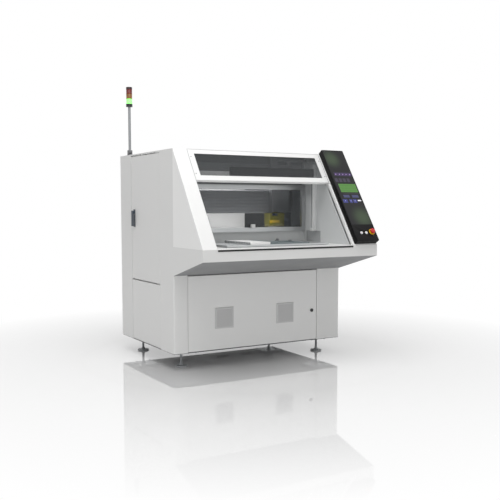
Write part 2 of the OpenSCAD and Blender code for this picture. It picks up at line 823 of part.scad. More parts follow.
module panel_housing() color([0.08, 0.08, 0.09]) on_slope() difference() {
    translate([panel_x0, -panel_foot, 0]) intersection() {
        linear_extrude(panel_t) hull_rect(panel_w, panel_l, 6);
        along_x(panel_w) polygon([[0, 0], [0, panel_t], [panel_l, panel_t], [panel_l, 0]]);
    }
    translate([panel_x0 + 6, -screen_l, panel_t - 4]) cube([panel_w - 12, screen_l + 2, 5]);
    for (x = [start_x, stop_x]) translate([x, -key_s, panel_t - 16])
        cylinder(d = button_d - 4 + 2 * run_gap, h = 20);
    translate([estop_x, -estop_s, panel_t - 16]) cylinder(d = 22 + 2 * run_gap, h = 30);
}

// Rectangle with four round corners
module hull_rect(w, l, r) {
    translate([r, 0]) square([w - 2 * r, l]);
    translate([0, r]) square([w, l - 2 * r]);
    for (x = [r, w - r], y = [r, l - r]) translate([x, y]) circle(r);
}

module panel_screen() color([0.03, 0.03, 0.04]) on_slope()
    translate([panel_x0 + 6.2, -screen_l + 0.2, panel_t - 4]) cube([panel_w - 12.4, screen_l + 1.6, 4]);

module estop_collar() color("gold") on_slope() translate([estop_x, -estop_s, panel_t])
    difference() {
        cylinder(d = estop_d + 8, h = 3);
        translate([0, 0, -eps]) cylinder(d = 22 + 2 * run_gap, h = 6);
    }

module push_button(x) {
    on_slope() translate([x, -key_s, panel_t]) {
        translate([0, 0, -10]) cylinder(d = button_d - 4, h = 13);
        translate([0, 0, 3.5]) cylinder(d1 = button_d, d2 = button_d - 3, h = 3);
        cylinder(d = button_d - 4, h = 4);
    }
}

module start_button() color("white") push_button(start_x);
module stop_button() color("white") push_button(stop_x);

estop_travel = 5;
module estop_button() color("red") on_slope() translate([estop_x, -estop_s, panel_t - 9])
    rotate_extrude() polygon([
        [0, 0], [11, 0], [11, 18], [14, 20], [estop_d / 2, 20], [estop_d / 2, 27],
        [estop_d / 2 - 3, 32], [estop_d / 2 - 9, 34], [0, 34]
    ]);

// ---- doors ----

side_pin_x = left_x + pivot_in;
side_pin_y = side_y0 + seam + pivot_edge;
front_pin_x = door_x0 + pivot_edge;
front_pin_y = front_y + pivot_in;

module hinge_pins() color(shade) {
    upright(front_pin_x, front_pin_y, base_top, seam + 14, pin_d);
    upright(front_pin_x, front_pin_y, header_z - seam - 14, seam + 14, pin_d);
    for (m = [0, 1]) mirror([m, 0, 0]) {
        upright(side_pin_x, side_pin_y, side_seam_z + seam / 2, seam + 14, pin_d);
        upright(side_pin_x, side_pin_y, side_top - 14, seam + 14, pin_d);
    }
}

module front_door() color(steel) difference() {
    translate([door_x0, front_y, door_foot]) tray(door_w, door_h);
    for (x = [vent_left_x, vent_right_x]) translate([left_x + x, front_y, vent_z])
        cube([vent_size - 24 + 2 * run_gap, 4 * sheet, vent_size - 24 + 2 * run_gap],
             center = true);
    translate([lock_x, front_y - eps, lock_z]) rotate([-90, 0, 0])
        cylinder(d = 16 + 2 * pin_fit, h = 2 * sheet + eps);
    for (z = [door_foot - eps, door_foot + door_h - 2 * sheet])
        upright(front_pin_x, front_pin_y, z, 2 * sheet + eps, pin_d + 2 * pin_fit);
}

slats = 14;
// Filter grille: bezel and slanted slats outside, fan housing inside
module vent() {
    s = vent_size;
    h = s / 2;
    translate([-h, -6, -h]) difference() {
        tray_block(s, s, 6, 3);
        translate([12, -eps, 12]) cube([s - 24, 8, s - 24]);
    }
    pitch = (s - 24) / slats;
    for (i = [0:slats - 1]) translate([12 - h, 0, 12 - h + i * pitch]) along_x(s - 24)
        polygon([[-5, 0], [-3.4, 0], [-0.4, pitch + 1], [-2, pitch + 1]]);
    difference() {
        translate([12 - h, -1, 12 - h]) cube([s - 24, 44, s - 24]);
        translate([0, 8, 0]) rotate([-90, 0, 0]) cylinder(d = s - 36, h = 40);
        translate([16 - h, -2, 16 - h]) cube([s - 32, 8, s - 32]);
    }
}

module door_vents() color(shade)
    for (x = [vent_left_x, vent_right_x]) translate([left_x + x, front_y, vent_z]) vent();

module front_lock() color([0.1, 0.1, 0.1]) translate([lock_x, front_y, lock_z]) {
    rotate([90, 0, 0]) difference() {
        cylinder(d = lock_d, h = 5);
        translate([0, 0, 2]) cylinder(d = 10, h = 5, $fn = 4);
    }
    rotate([-90, 0, 0]) cylinder(d = 16, h = return_d + sheet + 5);
    box(-9, 9, return_d + sheet + 1, return_d + sheet + 5, -9, cam_l);
}

module side_door() difference() {
    side_tray(side_y0 + seam, side_seam_z + seam * 1.5, side_door_w - 2 * seam,
              side_top - side_seam_z - seam * 1.5);
    translate([left_x - eps, handle_y, handle_z + handle_l / 2 - 16]) rotate([0, 90, 0])
        cylinder(d = 14 + 2 * pin_fit, h = 2 * sheet + eps);
    for (z = [side_seam_z, side_top - 2 * sheet])
        upright(side_pin_x, side_pin_y, z, 4 * sheet, pin_d + 2 * pin_fit);
}

plate_t = 5;
module handle_plate() translate([left_x - plate_t, handle_y - 15, handle_z - handle_l / 2 - 6])
    difference() {
        cube([plate_t, 30, handle_l + 12]);
        translate([-eps, 15, handle_l - 10]) rotate([0, 90, 0])
            cylinder(d = 14 + 2 * pin_fit, h = plate_t + 2 * eps);
    }

// Lever, shaft and the cam that catches behind the opening's strip
module swing_handle() translate([left_x, handle_y, handle_z + handle_l / 2 - 16]) {
    translate([-plate_t - run_gap - 18, 0, 0]) rotate([0, 90, 0])
        cylinder(d = handle_w, h = 18);
    translate([-plate_t - run_gap - 18, -handle_w / 2, -handle_l + 16])
        cube([9, handle_w, handle_l - 16]);
    translate([-plate_t - 1, 0, 0]) rotate([0, 90, 0])
        cylinder(d = 14, h = plate_t + 1 + return_d + sheet + 5);
    box(return_d + sheet + 1, return_d + sheet + 5, -9, 9, -9, cam_l);
}

module left_upper_door() color(shade) side_door();
module left_handle_plate() color(dark) handle_plate();
module left_handle() color("slategray") swing_handle();
module right_upper_door() color(shade) mirror([1, 0, 0]) side_door();
module right_handle_plate() color(dark) mirror([1, 0, 0]) handle_plate();
module right_handle() color("slategray") mirror([1, 0, 0]) swing_handle();

module lower_side_covers() color(shade) for (m = [0, 1]) mirror([m, 0, 0])
    side_tray(side_y0 + seam, door_foot, side_door_w - 2 * seam,
              side_seam_z - seam * 1.5 - door_foot, return_d);

// ---- signal tower ----

module tower_foot() color(dark) translate([tower_x, tower_y, roof_z]) {
    difference() {
        cylinder(d = 46, h = 5);
        for (a = [0, 180]) rotate(a) translate([17, 0, -eps]) cylinder(d = 5, h = 8);
    }
    for (x = [-16, 11]) difference() {
        translate([x, -12, 4]) cube([5, 24, pivot_h + 8]);
        translate([x - eps, 0, pivot_h]) rotate([0, 90, 0]) cylinder(d = 6 + 2 * pin_fit, h = 8);
    }
}

module tower_pole() color(dark) translate([tower_x, tower_y, tower_pivot_z]) {
    translate([-16, 0, 0]) rotate([0, 90, 0]) cylinder(d = 6, h = 32);
    translate([-10.5, -10, -10]) cube([21, 20, 24]);
    translate([0, 0, 10]) cylinder(d = pole_d, h = pole_l + 4);
    translate([0, 0, 14 + pole_l - 22]) cylinder(d = lamp_d, h = 22);
}

module lamp(i) translate([tower_x, tower_y, lamp_z + i * lamp_h])
    cylinder(d = lamp_d - 2, h = lamp_h);

module green_lamp() color("lime") lamp(0);
module amber_lamp() color("orange") lamp(1);
module red_lamp() color("red") lamp(2);

base_frame();
base_plate();
foot_brackets();
levelling_feet();
foot_locknuts();
left_side_panel();
right_side_panel();
rear_panel();
exhaust_spigot();
ledge();
ledge_edge_strip();
left_cheek();
right_cheek();
roof_panel();
window_frame();
window_pane();
window_screws();
bay_floor();
bay_side_walls();
light_curtain_posts();
machine_light();
process_wall();
sash_guides();
machine_bed();
table_rails();
gantry_columns();
gantry_beam();
beam_cover();
extraction_housing();
switchgear();
panel_housing();
panel_screen();
estop_collar();
tower_foot();
hinge_pins();
lower_side_covers();
front_door();
door_vents();
front_lock();
left_upper_door();
left_handle_plate();
left_handle();
right_upper_door();
right_handle_plate();
right_handle();
sash_frame();
sash_pane();
sash_knob();
table_shutter();
shuttle_table();
board_nest();
spindle_carriage();
spindle_head();
start_button();
stop_button();
estop_button();
tower_pole();
green_lamp();
amber_lamp();
red_lamp();
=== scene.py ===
"""Looks for a printed-circuit-board depaneling machine, laid out as a Blender add-on."""

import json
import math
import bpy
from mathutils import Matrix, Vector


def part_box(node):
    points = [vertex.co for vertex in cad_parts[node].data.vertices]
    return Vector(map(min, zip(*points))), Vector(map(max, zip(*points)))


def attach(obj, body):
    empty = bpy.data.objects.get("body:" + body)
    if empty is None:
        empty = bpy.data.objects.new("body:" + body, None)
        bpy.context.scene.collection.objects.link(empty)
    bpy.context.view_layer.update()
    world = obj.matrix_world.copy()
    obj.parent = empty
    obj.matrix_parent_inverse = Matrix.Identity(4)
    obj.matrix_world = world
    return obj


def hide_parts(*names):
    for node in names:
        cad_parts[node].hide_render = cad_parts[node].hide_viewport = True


bl_info = {
    "name": "Depaneling Machine Looks",
    "version": (1, 0, 0),
    "blender": (4, 5, 0),
    "location": "3D View > Sidebar > Depaneler",
    "description": "Finishes a depaneling machine and sets its studio stage",
    "category": "Object",
}

import bmesh
import bpy
from bpy.props import FloatProperty, FloatVectorProperty, PointerProperty
from mathutils import Matrix, Vector

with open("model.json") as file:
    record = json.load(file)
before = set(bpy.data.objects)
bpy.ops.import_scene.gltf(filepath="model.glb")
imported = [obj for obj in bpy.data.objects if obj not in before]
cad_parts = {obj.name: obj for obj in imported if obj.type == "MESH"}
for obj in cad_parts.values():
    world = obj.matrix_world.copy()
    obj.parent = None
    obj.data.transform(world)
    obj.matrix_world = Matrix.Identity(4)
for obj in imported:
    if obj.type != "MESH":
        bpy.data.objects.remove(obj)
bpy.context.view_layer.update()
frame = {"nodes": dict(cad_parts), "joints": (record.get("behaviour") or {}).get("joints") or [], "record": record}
MM = 0.001

# ---- places taken from the frame ----


def low(node_name):
    """Lowest corner of a CAD node."""
    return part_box(node_name)[0]


def high(node_name):
    """Highest corner of a CAD node."""
    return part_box(node_name)[1]


def middle(node_name):
    """Centre of a CAD node's box."""
    return (low(node_name) + high(node_name)) / 2


def joint(name):
    """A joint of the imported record, by its name."""
    return next(j for j in frame["joints"] if j["name"] == name)


LEFT = low("left_side_panel").x
RIGHT = high("right_side_panel").x
FRONT = low("roof_panel").y
REAR = high("rear_panel").y
ROOF = high("roof_panel").z
INTO_PANEL = Vector(joint("start_press")["axis"]).normalized()
SLOPE = Matrix.Translation((0.0, FRONT, ROOF)) @ Matrix(
    (Vector((1, 0, 0)), -INTO_PANEL.cross(Vector((1, 0, 0))), -INTO_PANEL)
).transposed().to_4x4()


def on_slope(x, down, out):
    """A point given across, down the slope and out of it, in the row frame."""
    return SLOPE @ Vector((x, -down, out))


# ---- colour and nodes ----


def linear(hex_colour, alpha=1.0):
    """Turn an sRGB hex colour such as #D8D8D6 into linear RGBA."""
    parts = [int(hex_colour[i : i + 2], 16) / 255 for i in (1, 3, 5)]
    rgb = [p / 12.92 if p <= 0.04045 else ((p + 0.055) / 1.055) ** 2.4 for p in parts]
    return (*rgb, alpha)


def colour_prop(name, description, hex_colour):
    """A colour property whose default is a hex colour."""
    return FloatVectorProperty(
        name=name,
        description=description,
        subtype="COLOR",
        size=4,
        min=0.0,
        max=1.0,
        default=linear(hex_colour),
    )


def add_node(tree, kind, inputs=None, **settings):
    """Add a node with its settings; in inputs a socket is linked and a value is set."""
    made = tree.nodes.new(kind)
    for key, value in settings.items():
        setattr(made, key, value)
    for key, value in (inputs or {}).items():
        if isinstance(value, bpy.types.NodeSocket):
            tree.links.new(value, made.inputs[key])
        else:
            made.inputs[key].default_value = value
    return made


def new_material(name, **constants):
    """A material with one Principled shader; underscores in a name stand for spaces."""
    made = bpy.data.materials.new(name)
    made.use_nodes = True
    tree = made.node_tree
    shader = tree.nodes["Principled BSDF"]
    for key, value in constants.items():
        shader.inputs[key.replace("_", " ")].default_value = value
    return made, tree, shader


def object_coords(tree):
    """The Object coordinates of a material's tree."""
    return add_node(tree, "ShaderNodeTexCoord").outputs["Object"]


def add_bump(tree, shader, height, strength, distance):
    """Raise a shader's surface by a height socket; distance is in metres."""
    bump = add_node(
        tree,
        "ShaderNodeBump",
        {"Height": height, "Strength": strength, "Distance": distance},
    )
    tree.links.new(bump.outputs["Normal"], shader.inputs["Normal"])


def blend_colours(tree, factor, first, second):
    """Mix two colours or colour sockets by a factor socket."""
    mix = add_node(tree, "ShaderNodeMix", data_type="RGBA")
    tree.links.new(factor, mix.inputs["Factor"])
    for slot_index, value in ((6, first), (7, second)):
        if isinstance(value, bpy.types.NodeSocket):
            tree.links.new(value, mix.inputs[slot_index])
        else:
            mix.inputs[slot_index].default_value = value
    return mix.outputs[2]


def shade_of(colour, factor):
    """The same colour, darker or lighter."""
    return (*[min(1.0, c * factor) for c in colour[:3]], colour[3])


def ramp(tree, factor, low_end, high_end, low_value=0.0, high_value=1.0):
    """Stretch a factor socket from one range to another, clamped."""
    made = add_node(
        tree,
        "ShaderNodeMapRange",
        {
            "Value": factor,
            "From Min": low_end,
            "From Max": high_end,
            "To Min": low_value,
            "To Max": high_value,
        },
    )
    return made.outputs["Result"]


# ---- finishes, each named for the real one ----


def powder_coat(name, colour, roughness=0.42):
    """Polyester powder coat, sprayed and baked: satin, with a faint orange peel."""
    made, tree, shader = new_material(name, Roughness=roughness, IOR=1.5)
    where = object_coords(tree)
    # handling leaves soft patches a hand's width across
    patches = add_node(tree, "ShaderNodeTexNoise", {"Vector": where, "Scale": 6.0, "Detail": 3.0})
    tone = blend_colours(tree, patches.outputs["Fac"], shade_of(colour, 0.975), colour)
    tree.links.new(tone, shader.inputs["Base Color"])
    gloss = ramp(tree, patches.outputs["Fac"], 0.3, 0.7, roughness - 0.05, roughness + 0.05)
    tree.links.new(gloss, shader.inputs["Roughness"])
    # orange peel of 2.5 mm
    peel = add_node(tree, "ShaderNodeTexNoise", {"Vector": where, "Scale": 400.0, "Detail": 1.0})
    add_bump(tree, shader, peel.outputs["Fac"], 0.25, 0.0001)
    return made


def rolled_metal(name, colour, roughness, along, grain_mm=0.8, streak_mm=60.0):
    """Rolled, ground or brushed metal: fine streaks along one axis."""
    made, tree, shader = new_material(
        name, Base_Color=colour, Metallic=1.0, Roughness=roughness
    )
    where = object_coords(tree)
    scale = [1 / (grain_mm * MM)] * 3
    scale["xyz".index(along)] = 1 / (streak_mm * MM)
    stretched = add_node(tree, "ShaderNodeMapping", {"Vector": where, "Scale": scale})
    streaks = add_node(
        tree,
        "ShaderNodeTexNoise",
        {"Vector": stretched.outputs["Vector"], "Scale": 1.0, "Detail": 4.0},
    )
    tone = blend_colours(tree, streaks.outputs["Fac"], shade_of(colour, 0.86), colour)
    tree.links.new(tone, shader.inputs["Base Color"])
    gloss = ramp(tree, streaks.outputs["Fac"], 0.3, 0.7, roughness - 0.07, roughness + 0.07)
    tree.links.new(gloss, shader.inputs["Roughness"])
    add_bump(tree, shader, streaks.outputs["Fac"], 0.3, 0.00005)
    return made


def zinc_plate(name, colour):
    """Zinc plating, dipped bright: pale metal with a soft cloudy spangle."""
    made, tree, shader = new_material(name, Metallic=1.0, Roughness=0.38)
    where = object_coords(tree)
    # spangles of about 8 mm
    cloud = add_node(tree, "ShaderNodeTexVoronoi", {"Vector": where, "Scale": 120.0})
    haze = add_node(tree, "ShaderNodeTexNoise", {"Vector": where, "Scale": 30.0, "Detail": 4.0})
    tone = blend_colours(tree, cloud.outputs["Color"], shade_of(colour, 0.88), colour)
    tree.links.new(tone, shader.inputs["Base Color"])
    gloss = ramp(tree, haze.outputs["Fac"], 0.3, 0.7, 0.3, 0.48)
    tree.links.new(gloss, shader.inputs["Roughness"])
    return made


def machine_casting(name, colour):
    """Cast iron under machine enamel: a sand-cast skin that the paint softens."""
    made, tree, shader = new_material(name, Base_Color=colour, Roughness=0.5)
    where = object_coords(tree)
    # sand grain, drawn as coarse as 3 mm
    sand = add_node(tree, "ShaderNodeTexNoise", {"Vector": where, "Scale": 320.0, "Detail": 5.0})
    tone = blend_colours(tree, sand.outputs["Fac"], shade_of(colour, 0.8), shade_of(colour, 1.15))
    tree.links.new(tone, shader.inputs["Base Color"])
    add_bump(tree, shader, sand.outputs["Fac"], 0.5, 0.0004)
    return made


def moulded_plastic(name, colour, roughness=0.45, grain_mm=1.2, shine=0.5):
    """Injection-moulded ABS: an even, fine spark-eroded texture."""
    made, tree, shader = new_material(
        name, Base_Color=colour, Roughness=roughness, IOR=1.53, Specular_IOR_Level=shine
    )
    where = object_coords(tree)
    grain = add_node(
        tree,
        "ShaderNodeTexNoise",
        {"Vector": where, "Scale": 1 / (grain_mm * MM), "Detail": 2.0},
    )
    tone = blend_colours(tree, grain.outputs["Fac"], shade_of(colour, 0.93), colour)
    tree.links.new(tone, shader.inputs["Base Color"])
    add_bump(tree, shader, grain.outputs["Fac"], 0.3, 0.00008)
    return made


def coated_fabric(name, colour):
    """Bellows cloth coated with polyurethane: dull, with a woven grain of 1.5 mm."""
    made, tree, shader = new_material(name, Base_Color=colour, Roughness=0.62)
    where = object_coords(tree)
    weave = add_node(
        tree,
        "ShaderNodeTexWave",
        {"Vector": where, "Scale": 330.0, "Distortion": 0.6},
        bands_direction="X",
    )
    tone = blend_colours(tree, weave.outputs["Fac"], shade_of(colour, 0.85), colour)
    tree.links.new(tone, shader.inputs["Base Color"])
    add_bump(tree, shader, weave.outputs["Fac"], 0.3, 0.0001)
    return made


def extruded_rubber(name, colour):
    """Extruded EPDM rubber: black and dull, with a faint bloom."""
    made, tree, shader = new_material(name, Base_Color=colour, Roughness=0.7)
    bloom = add_node(
        tree, "ShaderNodeTexNoise", {"Vector": object_coords(tree), "Scale": 90.0, "Detail": 3.0}
    )
    tone = blend_colours(tree, bloom.outputs["Fac"], colour, shade_of(colour, 1.8))
    tree.links.new(tone, shader.inputs["Base Color"])
    return made


def tinted_pane(name, colour):
    """Tinted polycarbonate sheet of 5 mm: clear and glossy, so light passes nearly unhindered."""
    made, _, _ = new_material(name, Base_Color=colour, Roughness=0.03, IOR=1.58, Alpha=0.3)
    return made


def lens_plastic(name, colour, glow):
    """Translucent lamp plastic: coloured through, and lit from inside where glow is set."""
    made, tree, shader = new_material(
        name,
        Base_Color=colour,
        Roughness=0.22,
        IOR=1.49,
        Subsurface_Weight=0.25,
        Subsurface_Scale=0.01,
        Emission_Color=colour,
        Emission_Strength=glow,
    )
    haze = add_node(
        tree, "ShaderNodeTexNoise", {"Vector": object_coords(tree), "Scale": 60.0, "Detail": 1.0}
    )
    tone = blend_colours(tree, haze.outputs["Fac"], shade_of(colour, 0.85), colour)
    tree.links.new(tone, shader.inputs["Base Color"])
    return made


def display_mark(name, colour, glow):
    """A lit area of the display: it gives its own light."""
    made, tree, shader = new_material(
        name,
        Base_Color=shade_of(colour, 0.4),
        Roughness=0.25,
        Emission_Strength=glow,
    )
    lines = add_node(
        tree,
        "ShaderNodeTexNoise",
        {"Vector": object_coords(tree), "Scale": 55.0, "Detail": 1.0},
    )
    tone = blend_colours(tree, lines.outputs["Fac"], shade_of(colour, 0.75), colour)
    tree.links.new(tone, shader.inputs["Emission Color"])
    return made


def display_glass(name, colour, glow_colour, spots):
    """Cover glass over a dark display with soft green glows on its background."""
    made, tree, shader = new_material(
        name,
        Base_Color=shade_of(colour, 0.5),
        Roughness=0.12,
        IOR=1.5,
        Specular_IOR_Level=0.25,
        Emission_Strength=0.8,
    )
    where = object_coords(tree)
    tone = colour
    for x, down, wide in spots:
        distance = add_node(
            tree,
            "ShaderNodeVectorMath",
            {0: where, 1: on_slope(x, down, 0.04)},
            operation="DISTANCE",
        )
        fade = add_node(
            tree,
            "ShaderNodeMapRange",
            {"Value": distance.outputs["Value"], "From Min": wide, "From Max": 0.0},
            interpolation_type="SMOOTHERSTEP",
        )
        tone = blend_colours(tree, fade.outputs["Result"], tone, glow_colour)
    tree.links.new(tone, shader.inputs["Emission Color"])
    return made


# ---- mesh helpers ----


def block(bm, lowest, highest, edge=0.0, segments=2):
    """Add a box between two corners, with its edges rounded."""
    size = Vector([b - a for a, b in zip(lowest, highest)])
    centre = (Vector(lowest) + Vector(highest)) / 2
    made = bmesh.ops.create_cube(bm, size=1.0, matrix=Matrix.LocRotScale(centre, None, size))
    if edge:
        edges = list({e for v in made["verts"] for e in v.link_edges})
        bmesh.ops.bevel(
            bm,
            geom=edges,
            offset=edge,
            offset_type="OFFSET",
            affect="EDGES",
            segments=segments,
            profile=0.5,
            material=-1,
            clamp_overlap=True,
        )


def turned(bm, profile, steps=32):
    """Turn a profile of (radius, height) pairs round Z; a radius of 0 closes an end."""
    verts = [bm.verts.new((r, 0.0, z)) for r, z in profile]
    edges = [bm.edges.new(pair) for pair in zip(verts, verts[1:])]
    bmesh.ops.spin(
        bm,
        geom=verts + edges,
        cent=(0, 0, 0),
        axis=(0, 0, 1),
        angle=math.tau,
        steps=steps,
        use_merge=True,
    )
    bmesh.ops.remove_doubles(bm, verts=bm.verts, dist=1e-6)


def put(bm, matrix):
    """Move everything in a bmesh by a matrix."""
    bmesh.ops.transform(bm, matrix=matrix, verts=bm.verts)


def join(bm, other, matrix=Matrix.Identity(4)):
    """Add a copy of another bmesh, moved by a matrix."""
    scratch = bpy.data.meshes.new("scratch")
    other.to_mesh(scratch)
    scratch.transform(matrix)
    bm.from_mesh(scratch)
    bpy.data.meshes.remove(scratch)


def finish_piece(name, bm, material, body, hides=(), sharp=35.0):
    """Make a bmesh an object that rides on a body, with smooth shading between sharp edges."""
    bmesh.ops.recalc_face_normals(bm, faces=bm.faces)
    mesh = bpy.data.meshes.new(name)
    bm.to_mesh(mesh)
    bm.free()
    mesh.shade_smooth()
    mesh.set_sharp_from_angle(angle=math.radians(sharp))
    piece = bpy.data.objects.new(name, mesh)
    bpy.context.scene.collection.objects.link(piece)
    mesh.materials.append(material)
    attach(piece, body)
    if hides:
        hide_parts(*hides)
    return piece


def body_of(node_name):
    """The body that a CAD node rides on."""
    bodies = frame["record"]["behaviour"]["bodies"]
    return next(name for name, nodes in bodies.items() if node_name in nodes)


def paint(material, *node_names):
    """Give CAD nodes one material."""
    for name in node_names:
        mesh = frame["nodes"][name].data
        mesh.materials.clear()
        mesh.materials.append(material)


def softened(node_name, material, edge, segments=2, sharp=35.0):
    """Stand a copy of a CAD node, with its sharp edges rounded, in its place."""
    bm = bmesh.new()
    bm.from_mesh(frame["nodes"][node_name].data)
    bmesh.ops.remove_doubles(bm, verts=bm.verts, dist=1e-6)
    bmesh.ops.dissolve_limit(
        bm,
        angle_limit=math.radians(1.0),
        verts=bm.verts,
        edges=bm.edges,
        use_dissolve_boundaries=False,
    )
    edges = [e for e in bm.edges if e.calc_face_angle(0.0) > math.radians(40)]
    bmesh.ops.bevel(
        bm,
        geom=edges,
        offset=edge,
        offset_type="OFFSET",
        affect="EDGES",
        segments=segments,
        profile=0.5,
        material=-1,
        clamp_overlap=True,
    )
    return finish_piece(
        node_name + "_rounded",
        bm,
        material,
        body_of(node_name),
        (node_name,),
        sharp,
    )


# ---- settings ----


class DepanelerColours(bpy.types.PropertyGroup):
    """Colours of the machine's finishes"""

    cabinet: colour_prop("Cabinet", "Powder coat of the cabinet's sides and roof", "#DDDDDC")
    hood: colour_prop("Hood", "Powder coat of the hood's cheeks and window frame", "#EDEDEC")
    door: colour_prop("Front door", "Powder coat of the front door", "#E0E0DF")
    inside: colour_prop("Inside", "Powder coat inside the loading bay", "#C9CBCB")
    # painted shade: this dark grey stands in for the shadow under the machine
    under: colour_prop("Base plate", "Powder coat of the base plate", "#5A5C5E")
    # painted shade: the next two greys stand in for the shade on the chamber's upper wall and the band under the
    # roof
    upper_wall: colour_prop("Upper wall", "Matt coat of the wall under the roof", "#77797B")
    ceiling: colour_prop("Ceiling", "Matt coat of the band next to the roof", "#626365")
    # painted shade: this darker grey stands in for the shade under the ledge's overhang
    underside: colour_prop("Underside", "Textured coat under the ledge", "#828384")
    # painted shade: this dark grey stands in for the shade inside the chamber
    liner: colour_prop("Liners", "Foam on the chamber's walls", "#3E4042")
    # dark enamel whose darkness is partly painted shade under the machine
    base: colour_prop("Base frame", "Enamel of the base frame", "#4A4C4F")
    casting: colour_prop("Castings", "Enamel of the bed, columns and beam", "#6A6D70")
    zinc: colour_prop("Zinc plate", "Plated feet, brackets and plates", "#A8AAAC")
    aluminium: colour_prop("Aluminium", "Clear anodised aluminium", "#C9CBCC")
    dark_aluminium: colour_prop("Dark aluminium", "Dark anodised aluminium", "#A6A8AB")
    bellows: colour_prop("Bellows", "Cloth of the beam cover", "#909295")
    housing: colour_prop("Panel housing", "Control panel's plastic housing", "#0A0A0B")
    display: colour_prop("Display", "Dark background of the display", "#1D1D1F")
    display_glow: colour_prop("Display glow", "Soft glow on the display", "#46563F")
    handle: colour_prop("Handles", "Die-cast swing handles", "#3E4852")
    pane: colour_prop("Panes", "Tint of the window panes", "#45484A")
    hood_plastic: colour_prop("Dust hood", "Plastic of the spindle's dust hood", "#7E7A1E")
    stop_red: colour_prop("Emergency stop", "Mushroom head", "#C4161C")
    stop_yellow: colour_prop("Collar", "Emergency stop's collar", "#E8B81A")


class DepanelerSizes(bpy.types.PropertyGroup):
    """Sizes of the small parts"""

    bolt_head: FloatProperty(
        name="Bolt head",
        description="Width across flats of the bracket bolts",
        subtype="DISTANCE",
        unit="LENGTH",
        default=0.013,
        min=0.008,
        max=0.02,
    )
    hood_bristles: FloatProperty(
        name="Bristle length",
        description="Length of the bristles under the dust hood",
        subtype="DISTANCE",
        unit="LENGTH",
        default=0.016,
        min=0.008,
        max=0.024,
    )
    lamp_ribs: FloatProperty(
        name="Lamp rib depth",
        description="Depth of the ribs round the signal lamps",
        subtype="DISTANCE",
        unit="LENGTH",
        default=0.0012,
        min=0.0005,
        max=0.003,
    )


class DepanelerStudio(bpy.types.PropertyGroup):
    """Light and floor of the studio"""

    key_power: FloatProperty(
        name="Key light", description="Power of the large top light", default=120.0, min=0.0
    )
    fill_power: FloatProperty(
        name="Fill light", description="Power of the front light", default=24.0, min=0.0
    )
    sky: FloatProperty(
        name="Room light", description="Strength of the even room light", default=0.45, min=0.0
    )
    chamber_power: FloatProperty(
        name="Chamber light",
        description="Power of the work light under the roof",
        default=7.0,
        min=0.0,
    )
    sill_power: FloatProperty(
        name="Sill light",
        description="Power of the work light behind the sash's lower bar",
        default=1.6,
        min=0.0,
    )
    floor: colour_prop("Floor", "Plain pale floor", "#F2F2F2")


def colours():
    """The colour settings."""
    return bpy.context.scene.depaneler_colours


def sizes():
    """The size settings."""
    return bpy.context.scene.depaneler_sizes


# ---- operators ----


class DEPANELER_OT_cabinet(bpy.types.Operator):
    """Paint the cabinet, its doors and the hood"""

    bl_idname = "depaneler.cabinet"
    bl_label = "Cabinet"

    def execute(self, context):
        tint = colours()
        coat = powder_coat("powder_coat_light_grey", tint.cabinet)
        paint(
            coat,
            "left_side_panel",
            "right_side_panel",
            "rear_panel",
            "ledge",
            "roof_panel",
            "left_upper_door",
            "right_upper_door",
            "lower_side_covers",
        )
        paint(
            powder_coat("powder_coat_hood", tint.hood), "left_cheek", "right_cheek", "window_frame"
        )
        # painted shade: the base plate's dark coat stands in for the shadow under the machine
        paint(powder_coat("base_plate_painted_shade_coat", tint.under), "base_plate")
        paint(powder_coat("powder_coat_front_door", tint.door), "front_door")
        paint(
            powder_coat("powder_coat_bay", tint.inside),
            "bay_side_walls",
            "process_wall",
            "table_shutter",
        )
        paint(powder_coat("powder_coat_bay_floor", tint.cabinet, 0.35), "bay_floor")
        paint(moulded_plastic("grille_abs_grey", linear("#C6C6C6"), 0.5), "door_vents")
        # real enamel, made dark partly as painted shade under the machine
        paint(machine_casting("base_frame_enamel_with_painted_shade", tint.base), "base_frame")
        return {"FINISHED"}


class DEPANELER_OT_mechanics(bpy.types.Operator):
    """Give the machine's inside its metals, castings and cloth"""

    bl_idname = "depaneler.mechanics"
    bl_label = "Mechanics"

    def execute(self, context):
        tint = colours()
        zinc = zinc_plate("zinc_plated_steel", tint.zinc)
        paint(
            zinc,
            "foot_brackets",
            "exhaust_spigot",
            "foot_locknuts",
            "hinge_pins",
            "window_screws",
            "switchgear",
        )
        casting = machine_casting("machine_enamel_casting", tint.casting)
        paint(casting, "machine_bed", "gantry_columns", "gantry_beam")
        along_x = rolled_metal("anodised_aluminium_x", tint.aluminium, 0.36, "x")
        along_z = rolled_metal("anodised_aluminium_z", tint.aluminium, 0.36, "z")
        along_y = rolled_metal("ground_steel_y", tint.aluminium, 0.3, "y")
        dark = rolled_metal("dark_anodised_aluminium", tint.dark_aluminium, 0.42, "x")
        paint(along_x, "sash_frame", "shuttle_table")
        paint(along_z, "sash_guides")
        paint(along_y, "table_rails")
        paint(dark, "spindle_carriage")
        housing = moulded_plastic("light_housing_black", tint.housing, 0.4, shine=0.2)
        paint(housing, "machine_light")
        paint(coated_fabric("bellows_cloth", tint.bellows), "beam_cover")
        paint(moulded_plastic("dust_hood_polyamide", tint.hood_plastic, 0.4), "spindle_head")
        paint(tinted_pane("polycarbonate_window", tint.pane), "window_pane", "sash_pane")
        return {"FINISHED"}


